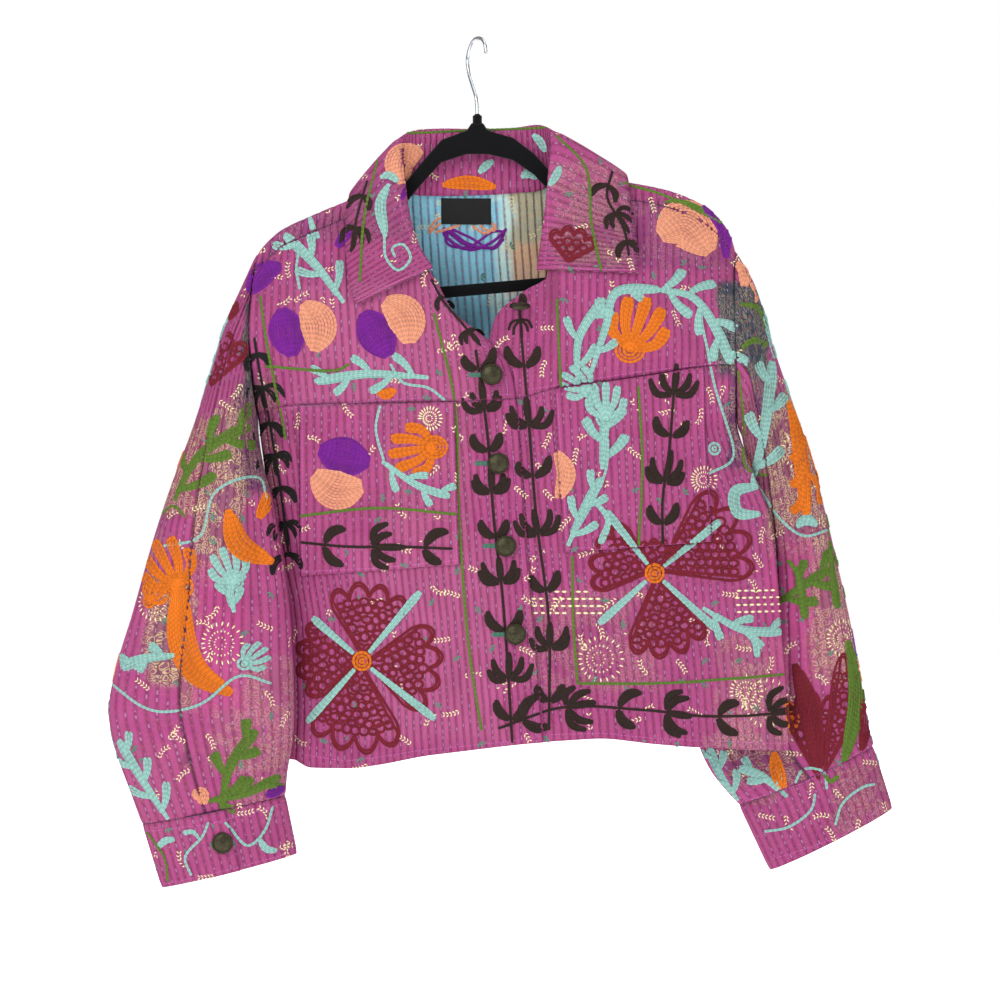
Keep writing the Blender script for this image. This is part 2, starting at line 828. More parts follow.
def even_ring(trace: Callable[[Array], Array], shares: Array, fine: int = 160) -> Array:
    """Returns points at even steps round a ring.

    Args:
        trace: gives points of the ring for shares of its turn.
        shares: the shares of its length that are wanted.
        fine: how many chords the ring is measured with.

    Returns:
        One point for each share.
    """
    line = trace(np.linspace(0, 1, fine + 1))
    run = np.concatenate([[0], np.cumsum(np.linalg.norm(np.diff(line, axis=0), axis=1))])
    target = (shares % 1.0) * run[-1]
    return np.stack([np.interp(target, run, line[:, k]) for k in range(3)], axis=-1)


def catmull(points: Array, at: Array) -> Array:
    """Returns a centripetal curve through points, at shares of their count.

    Args:
        points: N points by any further sizes, with 3 numbers last.
        at: the shares, from 0 to 1.

    Returns:
        One point, or row of points, for each share.
    """
    count = len(points)
    p = np.clip(at, 0, 1) * (count - 1)
    i = np.clip(np.floor(p).astype(int), 0, count - 2)
    w = p - i
    padded = np.concatenate([[2 * points[0] - points[1]], points, [2 * points[-1] - points[-2]]])
    q = [padded[i + k] for k in range(4)]
    gap = [
        np.maximum(np.linalg.norm(q[k + 1] - q[k], axis=-1, keepdims=True) ** 0.5, 1e-4)
        for k in range(3)
    ]
    t1 = (q[1] - q[0]) / gap[0] - (q[2] - q[0]) / (gap[0] + gap[1]) + (q[2] - q[1]) / gap[1]
    t2 = (q[2] - q[1]) / gap[1] - (q[3] - q[1]) / (gap[1] + gap[2]) + (q[3] - q[2]) / gap[2]
    t1, t2 = t1 * gap[1], t2 * gap[1]
    w = w.reshape(w.shape + (1,) * (q[1].ndim - w.ndim))
    c2 = -3 * q[1] + 3 * q[2] - 2 * t1 - t2
    c3 = 2 * q[1] - 2 * q[2] + t1 + t2
    return q[1] + t1 * w + c2 * w**2 + c3 * w**3


RIGHT_SLEEVE = (
    Ring(-217, -233, -203.5, -368, 38, 38, 0), Ring(-230, -263, -202, -378, 40, 40, -2),
    Ring(-244, -309, -199.5, -391, 40, 42, -6), Ring(-261, -365, -195, -409, 38, 44, -14),
    Ring(-281, -421, -188, -432, 34, 42, -21), Ring(-299, -477, -180, -474, 32, 38, -24),
    Ring(-316, -537, -171, -531, 30, 36, -25), Ring(-334, -598, -167, -590, 29, 34, -25),
    Ring(-340, -637, -166, -632, 29, 32, -24), Ring(-332, -677, -168, -664, 28, 30, -21),
    Ring(-320, -712, -173, -692, 27, 27, -18), Ring(-310, -741, -175, -714, 25, 25, -16),
)
LEFT_SLEEVE = (
    Ring(267, -227, 257.8, -375, 34, 38, 2), Ring(278, -256, 261, -387, 30, 44, 7),
    Ring(290, -295, 266, -402, 24, 48, 14), Ring(309, -346, 270, -422, 20, 50, 22),
    Ring(327, -396, 269, -447, 23, 50, 29), Ring(341, -447, 262, -484, 27, 45, 36),
    Ring(353, -495, 250, -525, 29, 38, 43), Ring(366, -550, 235, -575, 30, 34, 48),
    Ring(375, -599, 223, -626, 30, 32, 50), Ring(382, -637, 218, -662, 29, 30, 50),
    Ring(386, -660, 231, -697, 27, 27, 48), Ring(389, -674, 259, -731, 25, 25, 46),
)
RIGHT_CUFF = Ring(-292, -801, -164, -769, 23, 23, -14)
LEFT_CUFF = Ring(407, -733, 288, -793, 23, 23, 42)


@dataclass(frozen=True)
class Fold:
    """A crease of a sleeve.

    Args:
        at: its place as a share of the way round, where it starts.
        depth: how deep it is.
        width: its half width as a share of the way round.
        start: the share of the way down where it starts.
        end: the share where it ends.
        drift: how far round it moves over its run.
    """

    at: float
    depth: float
    width: float
    start: float
    end: float
    drift: float = 0.0


RIGHT_FOLDS = (
    Fold(0.2, 4, 0.03, 0.16, 0.75), Fold(0.37, 5, 0.035, 0.08, 0.58),
    Fold(0.62, 5, 0.035, 0.16, 0.75), Fold(0.85, 4, 0.03, 0.33, 0.92),
    Fold(0.1, 2.2, 0.02, 0.5, 0.98, 0.05), Fold(0.3, 2.4, 0.022, 0.62, 1.0, -0.04),
    Fold(0.44, 2.6, 0.02, 0.3, 0.7, -0.08), Fold(0.28, -1.8, 0.03, 0.1, 0.45, 0.1),
    Fold(0.55, 2.4, 0.022, 0.55, 0.98, 0.04), Fold(0.72, 2.2, 0.022, 0.1, 0.5, 0.06),
)
LEFT_FOLDS = (
    Fold(0.16, 4, 0.03, 0.25, 0.67), Fold(0.27, 5, 0.028, 0.42, 0.92),
    Fold(0.6, 5, 0.035, 0.25, 0.75), Fold(0.8, 4, 0.03, 0.16, 0.83),
    Fold(0.36, 2.6, 0.018, 0.55, 1.0, -0.03), Fold(0.1, 2.2, 0.02, 0.05, 0.5, 0.05),
    Fold(0.44, 2.6, 0.02, 0.2, 0.66, -0.05), Fold(0.22, 2.0, 0.016, 0.6, 1.0, 0.02),
    Fold(0.7, 2.4, 0.022, 0.5, 0.98, -0.04), Fold(0.9, 2.0, 0.022, 0.4, 0.9, 0.04),
)


@dataclass(frozen=True)
class Seams:
    """Where the two parts of a sleeve meet, as shares of the way round it."""

    front_top: float
    front_cuff: float
    back_top: float
    back_cuff: float

    def front(self, v: Array) -> Array:
        """Returns the front seam's place at each share of the way down."""
        return mix(self.front_top, self.front_cuff, v)

    def back(self, v: Array) -> Array:
        """Returns the back seam's place at each share of the way down."""
        return mix(self.back_top, self.back_cuff, v)


@dataclass
class Sleeve:
    """A sleeve in two parts, and its cuff.

    Args:
        name: right or left.
        hole: its armhole.
        side_x: the body's edge over Z.
        gap: how far the sleeve's head stands off that edge in X.
        rings: its sections from the armhole down.
        folds: its creases.
        seams: where its parts meet.
        cuff: the lower section of the cuff.
        lap_start: where the cuff's inner end lies.
        columns: how many points each section is measured with.
        length: the sleeve's length, which gives its rows.
        lap: how far the cuff's ends lap, as a share of the way round.
        surface: the points and ways out of the whole sleeve, once they are worked out.
    """

    name: str
    hole: Armhole
    side_x: Line
    gap: float
    rings: tuple[Ring, ...]
    folds: tuple[Fold, ...]
    seams: Seams
    cuff: Ring
    lap_start: float
    columns: int = 240
    length: float = 500.0
    lap: float = 0.06
    surface: tuple[Array, Array] | None = None

    def head(self, share: Array) -> Array:
        """Returns points round the armhole."""
        inward = (1 - np.cos(share * 2 * math.pi)) / 2
        top = ridge(self.side_x(self.hole.top)) - 0.01
        z = mix(top, self.hole.under, inward)
        side = np.where(share <= 0.5, -1.0, 1.0)
        half = np.where(inward == 0, 0.0, BODY.half(self.side_x(z), z))
        return np.stack([self.side_x(z) + self.gap, side * half, z], axis=-1)

    def grid(self) -> tuple[Array, Array]:
        """Returns the points and ways out of the whole sleeve, rows by columns."""
        shares = np.arange(self.columns) / self.columns
        rings = np.stack(
            [even_ring(trace, shares) for trace in (self.head, *(r.trace for r in self.rings))]
        )
        down = np.linspace(0, 1, round(self.length / ROW_STEP) + 1)
        points = catmull(rings, down)
        ahead = np.roll(points, -1, axis=1) - np.roll(points, 1, axis=1)
        below = np.gradient(points, axis=0)
        normals = np.cross(ahead, below)
        normals /= np.maximum(np.linalg.norm(normals, axis=-1, keepdims=True), 1e-9)
        centre = points.mean(axis=1, keepdims=True)
        sign = np.sign(np.sum(normals * (points - centre)))
        normals = normals * sign
        dent = np.zeros(points.shape[:2])
        for fold in self.folds:
            along = (down - fold.start) / (fold.end - fold.start)
            fade = smooth(along * 3.2) * smooth((1 - along) * 3.2)
            at = fold.at + fold.drift * np.clip(along, 0, 1)
            off = (shares[None, :] - at[:, None] + 0.5) % 1 - 0.5
            dent += fold.depth * fade[:, None] * np.exp(-((off / fold.width) ** 2))
        return points - normals * dent[..., None], normals

    def part(self, name: str, start: Array, end: Array) -> bpy.types.Object:
        """Makes one part of the sleeve between two lines of shares.

        Args:
            name: upper or under.
            start: the share round where each row starts.
            end: the share where it ends.

        Returns:
            The part.
        """
        points, normals = self.surface
        rows = len(points)
        wide = float(np.linalg.norm(np.diff(points[rows // 2], axis=0), axis=1).sum())
        span = (end - start).mean()
        columns = QUILT_COLUMNS * round(wide * span / QUILT_PITCH) + 1
        u = np.linspace(0, 1, columns)
        at = mix(start[:, None], end[:, None], u[None, :]) * self.columns
        low = np.floor(at).astype(int)
        t = (at - low)[..., None]
        row = np.arange(rows)[:, None]
        take = lambda grid: mix(grid[row, low % self.columns], grid[row, (low + 1) % self.columns], t)
        place, out = take(points), take(normals)
        out /= np.linalg.norm(out, axis=-1, keepdims=True)
        return sheet_object(Sheet(f"{self.name}_sleeve_{name}", place, out))

    def build(self) -> dict[str, bpy.types.Object]:
        """Builds both parts and the cuff, and returns them by node."""
        self.surface = self.grid()
        v = np.linspace(0, 1, len(self.surface[0]))
        front, back = self.seams.front(v), self.seams.back(v)
        return {
            f"{self.name}_sleeve_upper": self.part("upper", back - 1 + SEAM_SHARE, front - SEAM_SHARE),
            f"{self.name}_sleeve_under": self.part("under", front + SEAM_SHARE, back - SEAM_SHARE),
            f"{self.name}_cuff": self.build_cuff(),
        }

    def cuff_place(self, u: Array, v: Array) -> tuple[Array, Array]:
        """Returns points and ways out of the cuff.

        Args:
            u: shares of the way along the strip.
            v: shares of the way down.

        Returns:
            The points and the ways out.
        """
        upper, lower = self.rings[-1], self.cuff
        share = self.lap_start + u * (1 + self.lap)
        ring_at = lambda at: mix(
            even_ring(upper.trace, at.ravel()).reshape(at.shape + (3,)),
            even_ring(lower.trace, at.ravel()).reshape(at.shape + (3,)),
            v[..., None],
        )
        line = np.array([upper.out_x - upper.in_x, 0, upper.out_z - upper.in_z])
        axis = np.cross([0, 1, 0], line)
        down = np.array([lower.out_x - upper.out_x, 0, lower.out_z - upper.out_z])
        down = down / np.linalg.norm(down)
        ahead = ring_at(share + RING_STEP) - ring_at(share - RING_STEP)
        normal = np.cross(ahead, axis)
        normal /= np.linalg.norm(normal, axis=-1, keepdims=True)
        centre = np.array([(upper.out_x + upper.in_x) / 2, upper.y, (upper.out_z + upper.in_z) / 2])
        point = ring_at(share)
        middle = centre + down * (v[..., None] * CUFF_HEIGHT)
        normal = normal * np.sign(np.sum(normal * (point - middle), axis=-1, keepdims=True))
        rise = smooth((u - CUFF_LAP_FROM) / CUFF_LAP_OVER)[..., None]
        return point + normal * UNDERLAP_DEPTH * rise + down * SEAM_GAP, normal

    def build_cuff(self) -> bpy.types.Object:
        """Builds the cuff, a strip whose ends lap."""
        columns = QUILT_COLUMNS * round(CUFF_WIDTH / QUILT_PITCH) + 1
        u, v = np.meshgrid(np.linspace(0, 1, columns), np.linspace(0, 1, CUFF_ROWS))
        points, normals = self.cuff_place(u, v)
        return sheet_object(
            Sheet(f"{self.name}_cuff", points, normals, quilted=STIFF_PUCKER, raise_by=CUFF_RAISE)
        )


SEAM_SHARE = 0.0008
RING_STEP = 0.01
CUFF_HEIGHT = 60.0
CUFF_WIDTH = 320.0
CUFF_ROWS = 18
CUFF_LAP_FROM = 0.86
CUFF_LAP_OVER = 0.07
SLEEVES = (
    Sleeve("right", RIGHT_ARMHOLE, right_side, -SEAM_GAP, RIGHT_SLEEVE, RIGHT_FOLDS,
           Seams(0.12, 0.235, 0.78, 0.76), RIGHT_CUFF, 0.235),
    Sleeve("left", LEFT_ARMHOLE, left_side, SEAM_GAP, LEFT_SLEEVE, LEFT_FOLDS,
           Seams(0.3, 0.25, 0.86, 0.8), LEFT_CUFF, 0.74),
)


@dataclass
class Collar:
    """The collar: a stand, a fold and a fall in one piece.

    Args:
        wall: its thickness.
        fold: how far its fold stands off the line that it is rolled over.
        off_body: how far its edge stands off the body.
        lean: how far the stand leans out for each millimetre of its height.
        neck_lap: how far its neck edge goes down inside the back.
        rows: its places from the right front round the back to the left front.
        across: the places of its section.
        length: its length along the neck, which gives its columns.
        grid_rows: the rows of its mesh.
    """

    wall: float = 2.4
    fold: float = 3.0
    off_body: float = 4.0
    lean: float = 0.12
    neck_lap: float = 5.0
    # side (0 on top of the shoulder), neck x and z, roll x and z, edge x and z, lift
    rows: tuple = (
        (-1, -35, -222.5, -36, -219, -107, -254, 1), (-1, -50, -207, -48, -200, -112, -240, 3),
        (-1, -60, -187, -57, -174, -115, -215, 5), (-1, -66, -165, -63, -136, -116, -187, 6),
        (0, -72, -130, -66, -94, -112, -150, 5), (1, -58, -139, -56, -85, -92, -166, 4),
        (1, -32, -141, -32, -82, -46, -174, 4), (1, 7, -140, 7, -82, 9, -174, 4),
        (1, 44, -138, 42, -81, 62, -168, 4), (1, 70, -134, 66, -79, 112, -156, 4),
        (0, 82, -118, 76, -88, 145, -134, 5), (-1, 77.5, -158, 74, -132, 150, -172, 6),
        (-1, 74.5, -184, 70, -170, 154, -192, 5), (-1, 70, -206, 66, -199, 156, -209, 3),
        (-1, 66.5, -222.5, 63, -221, 157, -225, 1),
    )
    # share of the stand (negative off) or fall, and how far off the fold's line
    across: tuple = (
        (0, 0.0, 0.0), (0, 0.5, 0.3), (0, 0.9, 0.8), (1, 0.0, 0.0), (1, 0.06, 1.0),
        (1, 0.3, 1.2), (1, 0.62, 0.8), (1, 1.0, 0.0),
    )
    length: float = 520.0
    grid_rows: int = 34

    def lines(self) -> tuple[Array, Array, Array]:
        """Returns the points of the neck seam, the fold and the outer edge."""
        neck, roll, edge = [], [], []
        for side, neck_x, neck_z, roll_x, roll_z, edge_x, edge_z, lift in self.rows:
            if side == 0:
                top = float(ridge(np.array(edge_x))) + self.off_body + lift
                neck.append((neck_x, 0, neck_z))
                roll.append((roll_x, 2, roll_z))
                edge.append((edge_x, 0, top))
                continue
            face = Side(side)
            lap = self.neck_lap if side == 1 else 0.0
            inward = -WALL / 2 - (self.wall if side == 1 else 0.0)
            a = BODY.point(face, np.array(neck_x), np.array(neck_z - lap), inward)
            b = BODY.point(face, np.array(edge_x), np.array(edge_z))
            way = BODY.normal(face, np.array(edge_x, float), np.array(edge_z, float))
            neck.append(a)
            roll.append((roll_x, a[1] + side * self.lean * (roll_z - neck_z), roll_z))
            edge.append(b + way * (self.off_body + lift))
        return np.array(neck, float), np.array(roll, float), np.array(edge, float)

    def middle(self, u: Array) -> Array:
        """Returns points in the middle of the collar, rows across by columns along."""
        neck, roll, edge = (catmull(line, u) for line in self.lines())
        ahead = catmull(self.lines()[2], u + RING_STEP) - catmull(self.lines()[2], u - RING_STEP)
        out = np.cross(ahead, edge - roll)
        out /= np.linalg.norm(out, axis=-1, keepdims=True)
        rows = []
        for part, share, off in self.across:
            point = mix(neck, roll, share) if part == 0 else mix(roll, edge, share)
            rows.append(point + (1 if part else -1) * off * self.fold * out)
        return np.array(rows)

    def build(self) -> bpy.types.Object:
        """Builds the collar."""
        columns = QUILT_COLUMNS * round(self.length / QUILT_PITCH) + 1
        u = np.linspace(0, 1, columns)
        rows = self.middle(u)
        grid = catmull(rows, np.linspace(0, 1, self.grid_rows))
        along, across = np.gradient(grid, axis=1), np.gradient(grid, axis=0)
        normals = np.cross(along, across)
        normals /= np.linalg.norm(normals, axis=-1, keepdims=True)
        points = grid + normals * self.wall / 2
        return sheet_object(
            Sheet("collar", points, normals, self.wall, quilted=STIFF_PUCKER, raise_by=COLLAR_RAISE)
        )


def linear(code: int) -> tuple[float, float, float]:
    """Turns a colour code such as 0xB5519A into linear red, green and blue."""
    parts = [((code >> shift) & 255) / 255 for shift in (16, 8, 0)]
    return tuple(c / 12.92 if c <= 0.04045 else ((c + 0.055) / 1.055) ** 2.4 for c in parts)


class Thread(Enum):
    """The colours of thread and ink."""

    MINT = linear(0x9CCDC4)
    ORANGE = linear(0xEE7A10)
    PURPLE = linear(0x7D1596)
    PEACH = linear(0xF6A482)
    GREEN = linear(0x62822A)
    BROWN = linear(0x2E1C14)
    MAROON = linear(0x7E1328)
    CREAM = linear(0xEADBAA)
    SAGE = linear(0x4F7F6C)
    BLACK = linear(0x15120F)
    PINK = linear(0xC86AAE)


class Profile(Enum):
    """How a stroke's width changes along it."""

    STEM = "stem"
    LEAF = "leaf"
    CLUB = "club"


# The photograph's scale, for motifs that are placed by its pixels
PIXEL_MM = 0.95
ORIGIN_PX = (471.0, 41.0)
# Chain stitch: the distance between lines, the length of a link, its height and steps
CHAIN_PITCH = 2.9
LINK = 4.5
LINK_STEPS = 3
CHAIN_HEIGHT = 0.85
# A link's section: how far aside, how high, and how light the thread is there
LINK_SECTION = (
    (-1.0, -0.35, 0.42), (-0.55, 0.95, 1.05), (0.0, 0.45, 0.62), (0.55, 0.95, 1.05), (1.0, -0.35, 0.42),
)
# Topstitch: the step of its points, the height at each of a stitch's four, and its section
TOP_STEP = 0.85
TOP_HEIGHTS = (-0.15, 0.4, 0.4, -0.15)
TOP_SECTION = ((-0.34, -0.2), (0.0, 1.0), (0.34, -0.2))
# A small printed leaf: its outline as shares of half its length and width, and its two faces
LEAF_RING = ((-1, 0), (-0.3, -0.9), (0.4, -0.8), (1, 0), (0.4, 0.8), (-0.3, 0.9))
LEAF_FACES = ((0, 1, 4, 5), (1, 2, 3, 4))
# How far off the cloth a thread is dropped from and how far it may fall, in metres
DROP_FROM = 1.0
DROP_REACH = 2.0


def plane(points: Sequence[tuple[float, float]]) -> Array:
    """Turns places in the photograph's pixels into X and Z in millimetres."""
    table = np.array(points, float)
    return np.stack(
        [(table[:, 0] - ORIGIN_PX[0]) * PIXEL_MM, (ORIGIN_PX[1] - table[:, 1]) * PIXEL_MM], axis=-1
    )


def resample(line: Array, step: float) -> Array:
    """Returns a line's points again at even steps."""
    run = np.concatenate([[0], np.cumsum(np.linalg.norm(np.diff(line, axis=0), axis=1))])
    count = max(2, round(run[-1] / step) + 1)
    at = np.linspace(0, run[-1], count)
    return np.stack([np.interp(at, run, line[:, k]) for k in range(line.shape[1])], axis=-1)


def swept(points: Sequence[tuple[float, float]]) -> Array:
    """Returns a smooth line through places given in pixels, in millimetres."""
    table = plane(points)
    if len(table) == 2:
        return resample(table, 1.0)
    return resample(catmull(table, np.linspace(0, 1, 14 * len(table))), 1.0)


@dataclass(frozen=True)
class Stroke:
    """A shape filled with lines of chain stitch along its spine.

    Args:
        thread: its colour.
        profile: how its width changes.
        half: half of its greatest width, in pixels.
        spine: the places that its middle goes through, in pixels.
    """

    thread: Thread
    profile: Profile
    half: float
    spine: tuple[tuple[float, float], ...]

    def lines(self) -> list[Array]:
        """Returns the lines of chain stitch in millimetres."""
        spine = swept(self.spine)
        share = np.linspace(0, 1, len(spine))
        width = self.half * PIXEL_MM * self.widths(share)
        ahead = np.gradient(spine, axis=0)
        ahead /= np.maximum(np.linalg.norm(ahead, axis=1, keepdims=True), 1e-9)
        aside = np.stack([-ahead[:, 1], ahead[:, 0]], axis=-1)
        count = max(1, round(2 * width.max() / CHAIN_PITCH))
        made = []
        for index in range(count):
            f = (2 * index + 1) / count - 1
            line = spine + aside * (f * np.maximum(width - CHAIN_PITCH * 0.2, 0))[:, None]
            wide = 2 * width / count > CHAIN_PITCH * (0.45 if index % 2 else 0.2)
            made += kept_runs(line, wide | (count == 1))
        return made

    def widths(self, share: Array) -> Array:
        """Returns the width at each share of the spine, as a share of the greatest."""
        if self.profile is Profile.STEM:
            return np.ones_like(share)
        if self.profile is Profile.LEAF:
            return np.sin(math.pi * np.clip(share, 0.02, 0.98)) ** 0.75
        end = np.clip((share - 0.8) / 0.2, 0, 1)
        return (0.3 + 0.7 * share**0.8) * np.sqrt(1 - 0.9 * end**2)


@dataclass(frozen=True)
class Disc:
    """A round or oval filled with rings of chain stitch.

    Args:
        thread: its colour.
        middle: its place in pixels.
        size: its half width and half height in pixels.
    """

    thread: Thread
    middle: tuple[float, float]
    size: tuple[float, float]

    def lines(self) -> list[Array]:
        """Returns the rings in millimetres."""
        count = max(1, round(min(self.size) * PIXEL_MM / CHAIN_PITCH))
        turn = np.linspace(0, 2 * math.pi, 40)
        made = []
        for index in range(count):
            scale = 1 - (index + 0.4) / count
            ring = [
                (self.middle[0] + self.size[0] * scale * math.cos(a),
                 self.middle[1] + self.size[1] * scale * math.sin(a)) for a in turn
            ]
            made.append(resample(plane(ring), 1.0))
        return made


# An openwork petal, in pixels: its rim, and its loops' pitch, radius and rows
PETAL_RIM = 3.2
LOOP_PITCH = 9.5
LOOP_RADIUS = 4.4
LOOP_ROW = 8.6


@dataclass(frozen=True)
class Petal:
    """An openwork petal: a lobed outline over a net of small loops.

    Args:
        thread: its colour.
        apex: where it starts, in pixels.
        way: which way it points, in degrees, with 90 up.
        length: its length in pixels.
        spread: half of its angle in degrees.
        lobes: how many lobes its outer edge has.
        seed: the seed of the loops' unevenness.
    """

    thread: Thread
    apex: tuple[float, float]
    way: float
    length: float
    spread: float
    lobes: int = 4
    seed: int = 1

    def at(self, away: float, turn: float) -> tuple[float, float]:
        """Returns a place by its distance from the apex and its angle off the middle."""
        angle = math.radians(self.way + turn)
        return (self.apex[0] + away * math.cos(angle), self.apex[1] - away * math.sin(angle))

    def edge(self, turn: float, inset: float) -> float:
        """Returns how far out the lobed edge is at an angle off the middle."""
        t = (turn / self.spread + 1) / 2
        lobe = abs(math.sin(math.pi * self.lobes * t)) ** 0.6
        return self.length * (0.74 + 0.2 * lobe + 0.06 * math.sin(math.pi * t)) - inset

    def lines(self) -> list[Array]:
        """Returns the outline and the loops in millimetres."""
        made = []
        for inset in (0.0, PETAL_RIM):
            turns = np.linspace(-self.spread + inset, self.spread - inset, 46)
            outline = [self.at(4 + inset, 0), *(self.at(self.edge(a, inset), a) for a in turns)]
            outline.append(self.at(4 + inset, 0))
            made.append(resample(plane(outline), 1.0))
        chance = np.random.default_rng(self.seed)
        away = self.length * 0.2
        while away < self.length * 0.84:
            half = math.radians(self.spread) * away
            count = max(1, round(2 * half / LOOP_PITCH))
            for index in range(count):
                turn = self.spread * ((2 * index + 1) / count - 1) * 0.9
                place = self.at(away + chance.uniform(-2, 2), turn)
                size = min(LOOP_RADIUS, half * 0.7) * chance.uniform(0.85, 1.15)
                angles = np.linspace(0, 2 * math.pi, 16) + chance.uniform(0, 6)
                squash = chance.uniform(0.7, 1.0)
                loop = [(place[0] + size * math.cos(a), place[1] + size * squash * math.sin(a))
                        for a in angles]
                made.append(resample(plane(loop), 1.0))
            away += LOOP_ROW
        return made


Motif = Stroke | Disc | Petal


def kept_runs(line: Array, keep: Array, least: int = 4) -> list[Array]:
    """Cuts a line into the runs of points that are kept."""
    runs, start = [], None
    for i, good in enumerate(np.append(keep, False)):
        if good and start is None:
            start = i
        elif not good and start is not None:
            if i - start >= least:
                runs.append(line[start:i])
            start = None
    return runs


@dataclass
class Facing:
    """A way of laying threads on a sheet, straight onto it from one side.

    Args:
        across: the axis that a plan's first number runs along.
        sign: which way it runs.
        ray: the way in which the threads are laid on.
        least: how squarely the cloth has to face that way, from 0 to 1.
    """

    across: int
    sign: float
    ray: tuple[float, float, float]
    least: float = 0.3

    def origin(self, place: Array) -> tuple[float, float, float]:
        """Returns where the ray of a place of the plan starts, in metres."""
        point = [0.0, 0.0, float(place[1])]
        point[self.across] = float(place[0]) * self.sign
        return tuple(point[k] * MM - self.ray[k] * DROP_FROM for k in range(3))


FROM_FRONT = Facing(0, 1.0, (0.0, 1.0, 0.0))
FROM_BACK = Facing(0, 1.0, (0.0, -1.0, 0.0))
FROM_RIGHT = Facing(1, 1.0, (1.0, 0.0, 0.0), 0.88)
FROM_LEFT = Facing(1, 1.0, (-1.0, 0.0, 0.0), 0.88)


@dataclass
class Laid:
    """What is laid on one sheet: its points, faces and colours."""

    points: list[Array] = field(default_factory=list)
    faces: list[Array] = field(default_factory=list)
    colors: list[Array] = field(default_factory=list)
    count: int = 0


